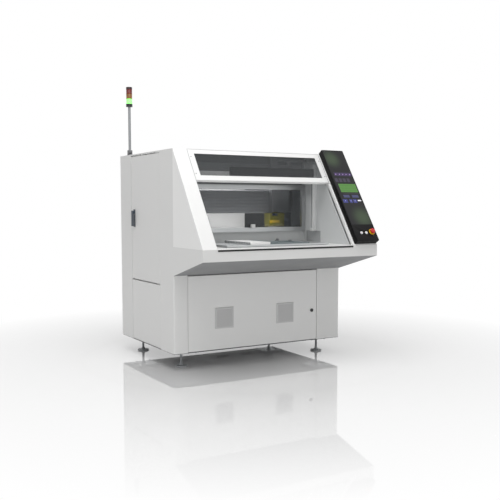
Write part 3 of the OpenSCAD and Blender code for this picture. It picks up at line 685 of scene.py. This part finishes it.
class DEPANELER_OT_controls(bpy.types.Operator):
    """Finish the control panel, its display and its buttons"""

    bl_idname = "depaneler.controls"
    bl_label = "Controls"

    def execute(self, context):
        tint = colours()
        housing = moulded_plastic("panel_housing_black_abs", tint.housing, 0.5, shine=0.15)
        softened("panel_housing", housing, 1.5 * MM)
        spots = ((0.561, 0.072, 0.11), (0.632, 0.589, 0.13))
        paint(
            display_glass("display_cover_glass", tint.display, tint.display_glow, spots),
            "panel_screen",
        )
        paint(moulded_plastic("emergency_collar_abs", tint.stop_yellow, 0.35), "estop_collar")
        softened("estop_button", moulded_plastic("mushroom_red_abs", tint.stop_red, 0.25), 1.2 * MM)
        key_white = lens_plastic("key_white_lens", linear("#DADADA"), 0.15)
        for name in ("start_button", "stop_button"):
            softened(name, key_white, 0.6 * MM)
        self.draw_display()
        return {"FINISHED"}

    def draw_display(self):
        """Lay plain lit blocks and dots on the display."""
        face = 42.3 * MM

        def marks(name, colour, glow, rows, lift=0.0):
            """Lit areas, given as left, right, upper and lower edges on the slope."""
            bm = bmesh.new()
            for left, right, upper, lower in rows:
                block(
                    bm, (left, -lower, face - 0.5 * MM), (right, -upper, face + lift), 0.2 * MM, 1
                )
            put(bm, SLOPE)
            light = display_mark(name + "_light", linear(colour), glow)
            finish_piece(name, bm, light, "cabinet")

        def around(centres, down, half_wide, half_tall):
            """Equal marks round points in one row."""
            return [
                (x - half_wide, x + half_wide, down - half_tall, down + half_tall) for x in centres
            ]

        dots = (0.5444, 0.5772, 0.6075, 0.638, 0.6714)
        marks("display_board_area", "#4F8536", 0.7, [(0.530, 0.686, 0.297, 0.371)])
        marks(
            "display_board_lines",
            "#35602A",
            0.7,
            [(0.534, 0.682, down, down + 0.0016) for down in (0.312, 0.334, 0.356)],
            0.2 * MM,
        )
        marks("display_board_shade", "#232325", 0.6, [(0.548, 0.684, 0.378, 0.386)])
        marks("display_violet_band", "#33244C", 0.8, [(0.530, 0.688, 0.196, 0.226)])
        marks("display_violet_dots", "#B08AD0", 0.9, around(dots, 0.211, 0.0036, 0.0036), 0.2 * MM)
        marks(
            "display_dim_row",
            "#342D40",
            0.8,
            around((0.531, 0.567, 0.603, 0.639), 0.264, 0.013, 0.017),
        )
        marks(
            "display_blue_tabs",
            "#3C3F66",
            0.8,
            [(0.535, 0.590, 0.395, 0.418), (0.612, 0.671, 0.395, 0.418)],
        )
        marks(
            "display_blue_row",
            "#2C2F70",
            0.9,
            [
                (0.514, 0.556, 0.432, 0.464),
                (0.573, 0.598, 0.432, 0.464),
                (0.606, 0.640, 0.432, 0.464),
            ],
        )
        marks(
            "display_blue_dots",
            "#9A9FE0",
            0.9,
            around((0.535, 0.586, 0.623), 0.447, 0.0034, 0.0034),
            0.2 * MM,
        )
        marks("display_white_pill", "#E2E2EA", 0.9, [(0.649, 0.680, 0.438, 0.449)])


class DEPANELER_OT_signal_tower(bpy.types.Operator):
    """Make the signal tower's ribbed lamps and finish its pole"""

    bl_idname = "depaneler.signal_tower"
    bl_label = "Signal Tower"

    def execute(self, context):
        black = moulded_plastic("tower_black_polycarbonate", linear("#17181A"), 0.35)
        paint(moulded_plastic("tower_foot_grey_polyamide", linear("#6E6F71"), 0.45), "tower_foot")
        paint(
            rolled_metal("tower_pole_aluminium", linear("#96989A"), 0.45, "z"), "tower_pole"
        )
        ribs = sizes().lamp_ribs
        bottom = low("green_lamp").z
        top = high("red_lamp").z
        levels = [bottom, bottom + 37 * MM, bottom + 75 * MM, top - 16 * MM]
        lamps = (
            ("green_lamp", "#7CF070", 1.5),
            ("amber_lamp", "#8E5E22", 0.06),
            ("red_lamp", "#74201A", 0.06),
        )
        for (name, hex_colour, glow), start, end in zip(lamps, levels, levels[1:]):
            lens = lens_plastic(name.replace("lamp", "lens"), linear(hex_colour), glow)
            self.make_lens(name, lens, ribs, start, end)
        self.make_ring("tower_lamp_base", black, bottom - 22.5 * MM, bottom + 0.3 * MM, 1.3 * MM)
        cap = moulded_plastic("tower_cap_dark_red", linear("#2A1618"), 0.35)
        self.make_ring("tower_cap", cap, levels[3], top)
        self.fill_foot()
        return {"FINISHED"}

    def fill_foot(self):
        """Close the foot: a saddle between its ears, and a round knuckle on the pole's pivot."""
        grey = moulded_plastic("tower_knuckle_grey", linear("#6E6F71"), 0.45)
        pivot = Vector(joint("tower_fold")["pos_m"])
        bottom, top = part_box("tower_foot")
        half = 11 * MM
        bm = bmesh.new()
        block(
            bm,
            (pivot.x - half, bottom.y + 2 * MM, bottom.z),
            (pivot.x + half, top.y - 2 * MM, pivot.z - 17 * MM),
            0.6 * MM,
            1,
        )
        finish_piece("tower_saddle", bm, grey, "cabinet")
        bm = bmesh.new()
        turned(bm, [(0.0, -half), (15 * MM, -half), (15 * MM, half), (0.0, half)], 40)
        put(bm, Matrix.Translation(pivot) @ Matrix.Rotation(math.pi / 2, 4, "Y"))
        finish_piece("tower_knuckle", bm, grey, "tower")

    def make_ring(self, name, material, start, end, proud=0.0):
        """A plain closed section of the lamp stack."""
        centre = middle("red_lamp")
        radius = (high("red_lamp").x - low("red_lamp").x) / 2 + proud
        tall = end - start
        edge = 1.5 * MM
        profile = [(0.0, 0.0), (radius - 0.5 * MM, 0.0), (radius, 0.5 * MM)]
        profile += [(radius, tall - edge), (radius - edge, tall), (0.0, tall)]
        bm = bmesh.new()
        turned(bm, profile, 48)
        put(bm, Matrix.Translation((centre.x, centre.y, start)))
        finish_piece(name, bm, material, "tower", (), 25.0)

    def make_lens(self, node_name, lens, ribs, start, end):
        """A ribbed lens in the place of a lamp's solid, between two heights."""
        bottom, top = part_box(node_name)
        radius = (top.x - bottom.x) / 2
        tall = end - start
        rim = 3 * MM
        count = 8
        pitch = (tall - 2 * rim) / count
        profile = [(0.0, 0.0), (radius, 0.0), (radius, rim)]
        for i in range(count):
            profile.append((radius - ribs, rim + (i + 0.25) * pitch))
            profile.append((radius - 0.2 * ribs, rim + (i + 0.75) * pitch))
        profile += [(radius, tall - rim), (radius, tall - 0.5 * MM), (radius - 1 * MM, tall)]
        profile.append((0.0, tall))
        bm = bmesh.new()
        turned(bm, profile, 48)
        centre = middle(node_name)
        put(bm, Matrix.Translation((centre.x, centre.y, start)))
        finish_piece(node_name + "_lens", bm, lens, "tower", (node_name,), 25.0)


class DEPANELER_OT_feet(bpy.types.Operator):
    """Make the threaded levelling feet and the bracket bolts"""

    bl_idname = "depaneler.feet"
    bl_label = "Feet"

    def execute(self, context):
        self.make_feet()
        self.make_bolts()
        return {"FINISHED"}

    def centres(self):
        """The four feet's axes in plan."""
        bottom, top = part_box("levelling_feet")
        radius = 43 * MM
        return [
            (x, y)
            for x in (bottom.x + radius, top.x - radius)
            for y in (bottom.y + radius, top.y - radius)
        ]

    def make_feet(self):
        """Pad, neck and thread, turned in one profile."""
        tall = high("levelling_feet").z
        core = 9 * MM
        profile = [(0.0, 0.0), (41.5 * MM, 0.0), (43 * MM, 1.5 * MM), (43 * MM, 7.5 * MM)]
        profile += [(41.5 * MM, 9.5 * MM), (15.5 * MM, 11 * MM), (14 * MM, 13 * MM)]
        profile += [(14 * MM, 20 * MM), (13 * MM, 21 * MM), (core, 22.5 * MM)]
        pitch = 2.5 * MM
        turns = int((tall - 30 * MM) / pitch)
        for i in range(turns):
            level = 27 * MM + i * pitch
            profile.append((core, level))
            profile.append((core - 1.1 * MM, level + 0.5 * pitch))
        profile += [(core, tall - 2 * MM), (core - 1.5 * MM, tall), (0.0, tall)]
        single = bmesh.new()
        turned(single, profile, 40)
        bm = bmesh.new()
        for x, y in self.centres():
            join(bm, single, Matrix.Translation((x, y, 0.0)))
        single.free()
        polyamide = moulded_plastic("foot_grey_polyamide", linear("#A2A4A6"), 0.5)
        finish_piece(
            "levelling_feet_turned",
            bm,
            polyamide,
            "cabinet",
            ("levelling_feet",),
            30.0,
        )

    def make_bolts(self):
        """Hexagon bolts with washers in the brackets' corners."""
        width = sizes().bolt_head
        under = low("foot_brackets").z
        single = bmesh.new()
        washer = [(0.0, 0.0), (8 * MM, 0.0), (8 * MM, -1.4 * MM), (0.0, -1.4 * MM)]
        turned(single, washer, 24)
        head = bmesh.ops.create_cone(
            single,
            cap_ends=True,
            segments=6,
            radius1=width / math.sqrt(3),
            radius2=width / math.sqrt(3),
            depth=5.3 * MM,
            matrix=Matrix.Translation((0, 0, -4.05 * MM)),
        )
        bmesh.ops.bevel(
            single,
            geom=list({e for v in head["verts"] for e in v.link_edges}),
            offset=0.5 * MM,
            offset_type="OFFSET",
            affect="EDGES",
            segments=2,
            profile=0.5,
            material=-1,
        )
        bm = bmesh.new()
        for x, y in self.centres():
            side = 1 if x > 0 else -1
            for along in (-82 * MM, 30 * MM):
                for across in (-66 * MM, 66 * MM):
                    place = Matrix.Translation((x + side * along, y + across, under))
                    join(bm, single, place)
        single.free()
        zinc = zinc_plate("zinc_bolts", linear("#B4B6B8"))
        finish_piece("bracket_bolts", bm, zinc, "cabinet")


class DEPANELER_OT_handles(bpy.types.Operator):
    """Round the swing handles and finish the locks"""

    bl_idname = "depaneler.handles"
    bl_label = "Handles"

    def execute(self, context):
        tint = colours()
        cast = moulded_plastic("die_cast_lacquer", tint.handle, 0.36)
        for side in ("left", "right"):
            softened(side + "_handle", cast, 1.2 * MM, 3)
            softened(side + "_handle_plate", cast, 1.0 * MM, 3)
        softened("front_lock", moulded_plastic("lock_black_zinc", linear("#141415"), 0.3), 0.4 * MM)
        return {"FINISHED"}


class DEPANELER_OT_bay_details(bpy.types.Operator):
    """Make the bay's trim, the light curtain, the board nest and the parts round the spindle"""

    bl_idname = "depaneler.bay_details"
    bl_label = "Bay Details"

    def execute(self, context):
        self.make_ledge_trim()
        self.make_gaskets()
        self.make_underside()
        self.make_liners()
        self.make_wall_bands()
        self.make_diffuser()
        self.make_light_curtain()
        self.make_knob()
        self.make_nest()
        self.make_housing()
        self.make_bristles()
        self.make_hood_front()
        return {"FINISHED"}

    def make_ledge_trim(self):
        """Black edge strip on the ledge's front, under the bright folded rim."""
        front = low("ledge").y
        top = high("ledge").z
        left, right = low("ledge_edge_strip").x, high("ledge_edge_strip").x
        bm = bmesh.new()
        block(
            bm,
            (left, front - 3 * MM, top - 14 * MM),
            (right, front + 1 * MM, top - 3 * MM),
            1 * MM,
        )
        rubber = extruded_rubber("epdm_edge_strip", linear("#0C0C0C"))
        finish_piece("ledge_strip", bm, rubber, "cabinet", ("ledge_edge_strip",))
        bm = bmesh.new()
        block(
            bm,
            (left, front - 1.5 * MM, top - 2.5 * MM),
            (right, low("bay_floor").y + 1 * MM, top + 3 * MM),
            1.2 * MM,
        )
        coat = powder_coat("powder_coat_rim", colours().hood)
        finish_piece("ledge_rim", bm, coat, "cabinet")

    def make_gaskets(self):
        """Thin grey seals between the window frame and the cheeks."""
        bm = bmesh.new()
        bottom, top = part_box("window_frame")
        reach = 268 * MM
        for x in (bottom.x - 0.3 * MM, top.x + 0.3 * MM):
            block(bm, (x - 0.8 * MM, -reach, -2 * MM), (x + 0.8 * MM, -2 * MM, 0.6 * MM))
        put(bm, SLOPE)
        rubber = extruded_rubber("epdm_seal_grey", linear("#8C8E90"))
        finish_piece("window_gaskets", bm, rubber, "cabinet")

    def make_underside(self):
        """A textured darker coat on the ledge's sloping underside, laid on its faces; the darker grey is painted
        shade of the overhang.
        """
        bm = bmesh.new()
        bm.from_mesh(frame["nodes"]["ledge"].data)
        bm.normal_update()
        front, top = FRONT - 2 * MM, high("ledge").z - 30 * MM
        other = [
            f
            for f in bm.faces
            if f.normal.z > -0.3 or f.calc_center_median().y > front or f.calc_center_median().z > top
        ]
        bmesh.ops.delete(bm, geom=other, context="FACES")
        bmesh.ops.remove_doubles(bm, verts=bm.verts, dist=1e-6)
        bmesh.ops.solidify(bm, geom=bm.faces[:], thickness=0.5 * MM)
        low_z = min(v.co.z for v in bm.verts)
        put(bm, Matrix.Translation((0.0, 0.0, low("ledge").z - 0.4 * MM - low_z)))
        # painted shade: the darker coat stands in for the shade under the ledge
        coat = powder_coat("underside_painted_shade_coat", colours().underside, 0.6)
        finish_piece("ledge_underside_shade", bm, coat, "cabinet")

    def make_liners(self):
        """Dark sheets on the rear wall and inside the upper doors as painted shade of the chamber, and cover
        sheets behind the cut-outs.
        """
        bm = bmesh.new()
        back = low("rear_panel").y
        side = 640 * MM
        floor, roof = 862 * MM, 1500 * MM
        block(bm, (-side, back - 10 * MM, floor), (side, back - 1 * MM, roof), 1 * MM)
        # painted shade: dark sheets stand in for the chamber's shade on the rear wall and the doors' insides
        chamber_shade_sheet = extruded_rubber("liner_painted_shade_grey", colours().liner)
        finish_piece("chamber_shade_liner", bm, chamber_shade_sheet, "cabinet")
        for side, sign in (("left", -1), ("right", 1)):
            door = side + "_upper_door"
            inner = low(door).x if sign > 0 else high(door).x
            bm = bmesh.new()
            across = sorted((inner - sign * 4 * MM, inner + sign * 0.5 * MM))
            block(bm, (across[0], -20 * MM, 620 * MM), (across[1], 370 * MM, 1470 * MM), 1 * MM)
            finish_piece(side + "_door_shade_liner", bm, chamber_shade_sheet, body_of(door))
        bm = bmesh.new()
        left, right = low("bay_side_walls").x, high("bay_side_walls").x
        for x in (left - 3.5 * MM, right + 2 * MM):
            block(bm, (x, -330 * MM, 858.5 * MM), (x + 1.5 * MM, -124 * MM, 950 * MM), 0.4 * MM, 1)
        coat = powder_coat("powder_coat_covers", linear("#A2A4A5"))
        finish_piece("cut_out_covers", bm, coat, "cabinet")

    def make_wall_bands(self):
        """Matt darker coats on the wall above the sash as painted shade of the upper wall and the band under the
        roof, a cable tray and its bracket.
        """
        wall = low("process_wall").y
        left, right = low("sash_guides").x - 8 * MM, high("sash_guides").x + 8 * MM
        coat_bottom, seam, coat_top = 1290 * MM, 1440 * MM, 1504 * MM
        face = wall - 0.2 * MM
        bm = bmesh.new()
        block(bm, (left, face, coat_bottom), (right, wall + 0.5 * MM, seam))
        # painted shade: this grey stands in for the shade on the upper wall
        wall_shade_paint = powder_coat("upper_wall_painted_shade", colours().upper_wall, 0.7)
        finish_piece("upper_wall_shade_coat", bm, wall_shade_paint, "cabinet")
        bm = bmesh.new()
        block(bm, (left, face, seam), (right, wall + 0.5 * MM, coat_top))
        # painted shade: this darker grey stands in for the shade under the roof
        wall_shade_paint = powder_coat("ceiling_band_painted_shade", colours().ceiling, 0.7)
        finish_piece("ceiling_shade_coat", bm, wall_shade_paint, "cabinet")
        bm = bmesh.new()
        front = wall - 46 * MM
        back = wall - 24 * MM
        block(bm, (152 * MM, front, 1418 * MM), (206 * MM, back, 1488 * MM), 2 * MM)
        block(bm, (206 * MM, front + 3 * MM, 1462 * MM), (470 * MM, back, 1480 * MM), 2 * MM)
        block(bm, (300 * MM, front + 1 * MM, 1430 * MM), (326 * MM, back, 1463 * MM), 4 * MM, 3)
        grey = moulded_plastic("tray_grey_pvc", linear("#7C7E80"), 0.55)
        finish_piece("cable_tray", bm, grey, "cabinet")

    def make_diffuser(self):
        """Frosted strip in the machine light's recess."""
        bottom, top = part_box("machine_light")
        bm = bmesh.new()
        block(
            bm,
            (bottom.x + 13 * MM, bottom.y + 4.5 * MM, bottom.z + 2 * MM),
            (top.x - 13 * MM, top.y - 4.5 * MM, bottom.z + 7 * MM),
            1 * MM,
        )
        frosted = moulded_plastic("diffuser_opal_acrylic", linear("#E8E8E4"), 0.5)
        finish_piece("light_diffuser", bm, frosted, "cabinet")

    def make_light_curtain(self):
        """Two slim posts with lens strips on their inner faces, and the traverse behind the light."""
        bottom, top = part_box("light_curtain_posts")
        wide = 32 * MM
        inner_left, inner_right = bottom.x + wide, top.x - wide
        bm = bmesh.new()
        for x0, x1 in ((bottom.x, inner_left), (inner_right, top.x)):
            block(bm, (x0, bottom.y, bottom.z), (x1, top.y, top.z), 1.5 * MM)
        light = low("machine_light").z
        block(
            bm,
            (inner_left - 1 * MM, high("machine_light").y, light),
            (inner_right + 1 * MM, high("machine_light").y + 26 * MM, light + 30 * MM),
            1 * MM,
        )
        profile = powder_coat("profile_powder_grey", linear("#D2D3D3"), 0.4)
        finish_piece(
            "light_curtain",
            bm,
            profile,
            "cabinet",
            ("light_curtain_posts",),
        )
        bm = bmesh.new()
        middle_y = (bottom.y + top.y) / 2
        for x0, x1 in (
            (inner_left - 1 * MM, inner_left + 0.5 * MM),
            (inner_right - 0.5 * MM, inner_right + 1 * MM),
        ):
            block(
                bm,
                (x0, middle_y - 6 * MM, bottom.z + 24 * MM),
                (x1, middle_y + 6 * MM, light - 14 * MM),
                0.4 * MM,
                1,
            )
        lens = moulded_plastic("curtain_lens_smoked", linear("#9FA1A4"), 0.18)
        finish_piece("light_curtain_lenses", bm, lens, "cabinet")

    def make_knob(self):
        """White pull on the sash's lower bar: a short neck and a rounded block."""
        front = high("sash_knob").y
        bm = bmesh.new()
        block(bm, (-9 * MM, front - 7 * MM, 974 * MM), (10 * MM, front + 1 * MM, 992 * MM), 2 * MM)
        block(
            bm,
            (-15 * MM, front - 28 * MM, 969 * MM),
            (16 * MM, front - 6 * MM, 997 * MM),
            4 * MM,
            4,
        )
        phenolic = moulded_plastic("knob_white_phenolic", colours().hood, 0.3)
        finish_piece("sash_pull", bm, phenolic, body_of("sash_knob"), ("sash_knob",))

    def make_nest(self):
        """The board nest: a ribbed white block with grey ribs as painted shade of its left side, a dark carrier
        plate and two small clamps.
        """
        base = high("shuttle_table").z
        front = low("shuttle_table").y
        back = high("shuttle_table").y
        body = body_of("board_nest")
        bm = bmesh.new()
        block(
            bm,
            (-288 * MM, front + 1 * MM, base),
            (-134 * MM, back - 1 * MM, base + 16 * MM),
            1 * MM,
        )
        white = moulded_plastic("nest_block_white_pom", linear("#EEEEED"), 0.4)
        finish_piece("nest_block", bm, white, body)
        bm = bmesh.new()
        ribs = 16
        pitch = (back - front - 12 * MM) / ribs
        for i in range(ribs):
            start = front + 8 * MM + i * pitch
            block(
                bm,
                (-292 * MM, start, base + 1 * MM),
                (-286 * MM, start + 0.6 * pitch, base + 16.6 * MM),
                0.6 * MM,
                1,
            )
        # painted shade: the ribs' mid grey stands in for the shade on the block's left side
        ribbed = moulded_plastic("nest_ribs_painted_shade_grey", linear("#8E9092"), 0.45)
        finish_piece("nest_ribs", bm, ribbed, body)
        bm = bmesh.new()
        plate_front, plate_back = front + 6 * MM, -340 * MM
        plate_top = base + 8 * MM
        block(bm, (-129 * MM, plate_front, base), (-69 * MM, plate_back, base + 16 * MM), 1 * MM)
        block(bm, (-69 * MM, plate_front, base), (190 * MM, -560 * MM, plate_top), 0.8 * MM)
        block(bm, (-69 * MM, -400 * MM, base), (190 * MM, plate_back, plate_top), 0.8 * MM)
        block(bm, (140 * MM, -560.5 * MM, base), (190 * MM, -399.5 * MM, plate_top), 0.8 * MM)
        block(
            bm,
            (-69 * MM, -560.5 * MM, base),
            (140.5 * MM, -399.5 * MM, base + 3 * MM),
            0.3 * MM,
            1,
        )
        laminate = moulded_plastic("nest_carrier_grey_laminate", linear("#6E787A"), 0.4)
        finish_piece("nest_carrier", bm, laminate, body, ("board_nest",))
        bm = bmesh.new()
        for x, y, tall in ((114 * MM, -304 * MM, 22 * MM), (223 * MM, -304 * MM, 12 * MM)):
            half = 11 * MM
            block(bm, (x - half, y - half, base), (x + half, y + half, base + 0.5 * tall), 1.2 * MM)
            block(
                bm,
                (x - 0.6 * half, y - 1.9 * half, base + 0.45 * tall),
                (x + 0.6 * half, y + 0.7 * half, base + tall),
                1.6 * MM,
            )
        steel = rolled_metal("clamp_steel", linear("#9A9C9E"), 0.35, "y")
        finish_piece("nest_clamps", bm, steel, body)

    def make_housing(self):
        """White housing of the extraction behind the beam, with a cover seam."""
        bottom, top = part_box("extraction_housing")
        right = top.x + 17 * MM
        roof = top.z + 24 * MM
        seam = bottom.z + 250 * MM
        bm = bmesh.new()
        block(bm, (bottom.x, bottom.y, bottom.z), (right, top.y, seam - 1 * MM), 5 * MM, 3)
        block(
            bm,
            (bottom.x + 3 * MM, bottom.y + 3 * MM, seam - 4 * MM),
            (right - 3 * MM, top.y, seam + 3 * MM),
        )
        block(bm, (bottom.x, bottom.y, seam + 1 * MM), (right, top.y, roof), 5 * MM, 3)
        coat = powder_coat("powder_coat_white_housing", colours().hood)
        finish_piece("extraction_box", bm, coat, "cabinet", ("extraction_housing",))

    def make_hood_front(self):
        """Yellow band, blue cover and the small camera beside the dust hood."""
        bottom = low("spindle_head")
        body = body_of("spindle_head")
        front = bottom.y
        left = bottom.x
        bm = bmesh.new()
        block(
            bm,
            (left + 2 * MM, front - 1 * MM, 1002 * MM),
            (left + 92 * MM, front + 1 * MM, 1022 * MM),
            0.6 * MM,
            1,
        )
        yellow = moulded_plastic("hood_band_yellow", linear("#D6B22A"), 0.45)
        finish_piece("hood_band", bm, yellow, body)
        bm = bmesh.new()
        block(
            bm,
            (273 * MM, front - 1 * MM, 1055 * MM),
            (322 * MM, front + 1 * MM, 1075 * MM),
            0.6 * MM,
            1,
        )
        blue = moulded_plastic("hood_cover_blue", linear("#26304A"), 0.4)
        finish_piece("hood_cover", bm, blue, body)
        bm = bmesh.new()
        block(
            bm,
            (380 * MM, front + 8 * MM, 1010 * MM),
            (428 * MM, front + 44 * MM, 1034 * MM),
            3 * MM,
            3,
        )
        grey = moulded_plastic("board_camera_grey", linear("#6C7480"), 0.4)
        finish_piece("board_camera", bm, grey, body)

    def make_bristles(self):
        """A skirt of nylon bristles round the foot of the dust hood."""
        bottom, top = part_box("spindle_head")
        long = sizes().hood_bristles
        foot = 988 * MM
        bm = bmesh.new()
        count = 44
        wide = top.x - bottom.x
        deep = top.y - bottom.y
        for i in range(count):
            x = bottom.x + wide * (i + 0.5) / count
            for y in (bottom.y + 2 * MM, top.y - 2 * MM):
                bmesh.ops.create_cone(
                    bm,
                    cap_ends=True,
                    segments=4,
                    radius1=0.6 * MM,
                    radius2=1.3 * MM,
                    depth=long,
                    matrix=Matrix.Translation((x, y, foot - long / 2 + 1 * MM)),
                )
        for i in range(24):
            y = bottom.y + deep * (i + 0.5) / 24
            for x in (bottom.x + 2 * MM, top.x - 2 * MM):
                bmesh.ops.create_cone(
                    bm,
                    cap_ends=True,
                    segments=4,
                    radius1=0.6 * MM,
                    radius2=1.3 * MM,
                    depth=long,
                    matrix=Matrix.Translation((x, y, foot - long / 2 + 1 * MM)),
                )
        nylon = moulded_plastic("bristle_nylon_olive", linear("#7A7220"), 0.5)
        finish_piece("hood_bristles", bm, nylon, body_of("spindle_head"))


class DEPANELER_OT_stage(bpy.types.Operator):
    """Set the floor, the lights, the room and the camera"""

    bl_idname = "depaneler.stage"
    bl_label = "Stage"

    def execute(self, context):
        studio = context.scene.depaneler_studio
        self.make_floor(studio)
        self.make_room(studio)
        self.add_area("key_light", (-1.0, -1.4, 4.6), (0.0, -0.1, 0.6), 3.4, studio.key_power)
        self.add_area("fill_light", (-2.6, -5.6, 2.2), (0.0, 0.0, 0.8), 3.0, studio.fill_power)
        self.add_area(
            "chamber_light", (-0.06, 0.3, 1.48), (-0.06, 0.3, 0.9), 0.5, studio.chamber_power
        )
        self.add_area(
            "sill_light", (-0.16, -0.09, 0.962), (-0.16, 0.2, 1.03), 0.8, studio.sill_power, 0.012
        )
        self.make_camera(context.scene)
        context.scene.view_settings.view_transform = "Standard"
        return {"FINISHED"}

    def make_floor(self, studio):
        """A wide pale floor that fades to white far from the machine."""
        bm = bmesh.new()
        bmesh.ops.create_circle(bm, cap_ends=True, segments=96, radius=30.0)
        mesh = bpy.data.meshes.new("floor")
        bm.to_mesh(mesh)
        bm.free()
        floor = bpy.data.objects.new("floor", mesh)
        bpy.context.scene.collection.objects.link(floor)
        made, tree, shader = new_material(
            "painted_floor", Base_Color=studio.floor, Roughness=0.03, IOR=5.0
        )
        output = tree.nodes["Material Output"]
        distance = add_node(
            tree,
            "ShaderNodeVectorMath",
            {0: object_coords(tree)},
            operation="LENGTH",
        )
        far = ramp(tree, distance.outputs["Value"], 1.2, 2.9)
        path = add_node(tree, "ShaderNodeLightPath")
        seen = add_node(
            tree,
            "ShaderNodeMath",
            {0: path.outputs["Is Camera Ray"], 1: path.outputs["Is Transmission Ray"]},
            operation="MAXIMUM",
        )
        seen = add_node(
            tree,
            "ShaderNodeMath",
            {0: seen.outputs[0], 1: path.outputs["Is Glossy Ray"]},
            operation="MAXIMUM",
        )
        amount = add_node(
            tree, "ShaderNodeMath", {0: far, 1: seen.outputs[0]}, operation="MULTIPLY"
        )
        white = add_node(tree, "ShaderNodeEmission", {"Color": (1, 1, 1, 1), "Strength": 1.0})
        mixed = add_node(
            tree,
            "ShaderNodeMixShader",
            {0: amount.outputs[0], 1: shader.outputs[0], 2: white.outputs[0]},
        )
        tree.links.new(mixed.outputs[0], output.inputs["Surface"])
        mesh.materials.append(made)

    def make_room(self, studio):
        """Even room light, seen as white."""
        world = bpy.data.worlds.new("studio_room")
        world.use_nodes = True
        bpy.context.scene.world = world
        tree = world.node_tree
        path = add_node(tree, "ShaderNodeLightPath")
        seen = add_node(
            tree,
            "ShaderNodeMath",
            {0: path.outputs["Is Camera Ray"], 1: path.outputs["Is Transmission Ray"]},
            operation="MAXIMUM",
        )
        seen = add_node(
            tree,
            "ShaderNodeMath",
            {0: seen.outputs[0], 1: path.outputs["Is Glossy Ray"]},
            operation="MAXIMUM",
        )
        strength = ramp(tree, seen.outputs[0], 0.0, 1.0, studio.sky, 1.0)
        background = tree.nodes["Background"]
        background.inputs["Color"].default_value = (1, 1, 1, 1)
        tree.links.new(strength, background.inputs["Strength"])

    def add_area(self, name, place, target, size, power, tall=None):
        """A soft light that faces a point: square, or a strip where its height is given."""
        data = bpy.data.lights.new(name, "AREA")
        data.energy = power
        data.size = size
        if tall:
            data.shape = "RECTANGLE"
            data.size_y = tall
        lamp = bpy.data.objects.new(name, data)
        bpy.context.scene.collection.objects.link(lamp)
        direction = Vector(target) - Vector(place)
        lamp.matrix_world = Matrix.LocRotScale(
            Vector(place), direction.to_track_quat("-Z", "Y"), None
        )

    def make_camera(self, scene):
        """A camera at a standing visitor's distance, left of the machine."""
        data = bpy.data.cameras.new("camera")
        data.lens = 53.85
        data.sensor_width = 36.0
        data.shift_x = 0.00375
        data.shift_y = 0.037
        camera = bpy.data.objects.new("camera", data)
        scene.collection.objects.link(camera)
        camera.location = (-2.8121, -4.8885, 1.1295)
        camera.rotation_euler = (math.radians(85.2385), 0.0, math.radians(-30.342))
        scene.camera = camera


class DEPANELER_PT_sidebar(bpy.types.Panel):
    """The machine's settings and pieces"""

    bl_idname = "DEPANELER_PT_sidebar"
    bl_label = "Depaneler"
    bl_space_type = "VIEW_3D"
    bl_region_type = "UI"
    bl_category = "Depaneler"

    def draw(self, context):
        for group in ("depaneler_colours", "depaneler_sizes", "depaneler_studio"):
            column = self.layout.column(align=True)
            settings = getattr(context.scene, group)
            for key in settings.bl_rna.properties.keys():
                if key not in {"rna_type", "name"}:
                    column.prop(settings, key)
        for operator in OPERATORS:
            self.layout.operator(operator.bl_idname)


GROUPS = {
    "depaneler_colours": DepanelerColours,
    "depaneler_sizes": DepanelerSizes,
    "depaneler_studio": DepanelerStudio,
}
OPERATORS = (
    DEPANELER_OT_cabinet,
    DEPANELER_OT_mechanics,
    DEPANELER_OT_controls,
    DEPANELER_OT_signal_tower,
    DEPANELER_OT_feet,
    DEPANELER_OT_handles,
    DEPANELER_OT_bay_details,
    DEPANELER_OT_stage,
)


def register():
    """Register the settings, the operators and the panel."""
    for name, group in GROUPS.items():
        bpy.utils.register_class(group)
        setattr(bpy.types.Scene, name, PointerProperty(type=group))
    for operator in OPERATORS:
        bpy.utils.register_class(operator)
    bpy.utils.register_class(DEPANELER_PT_sidebar)


def unregister():
    """Take everything back that register added."""
    bpy.utils.unregister_class(DEPANELER_PT_sidebar)
    for operator in reversed(OPERATORS):
        bpy.utils.unregister_class(operator)
    for name, group in reversed(GROUPS.items()):
        delattr(bpy.types.Scene, name)
        bpy.utils.unregister_class(group)


def main():
    """Finish the machine piece by piece."""
    register()
    for operator in OPERATORS:
        category, name = operator.bl_idname.split(".")
        getattr(getattr(bpy.ops, category), name)()


if __name__ == "__main__":
    main()
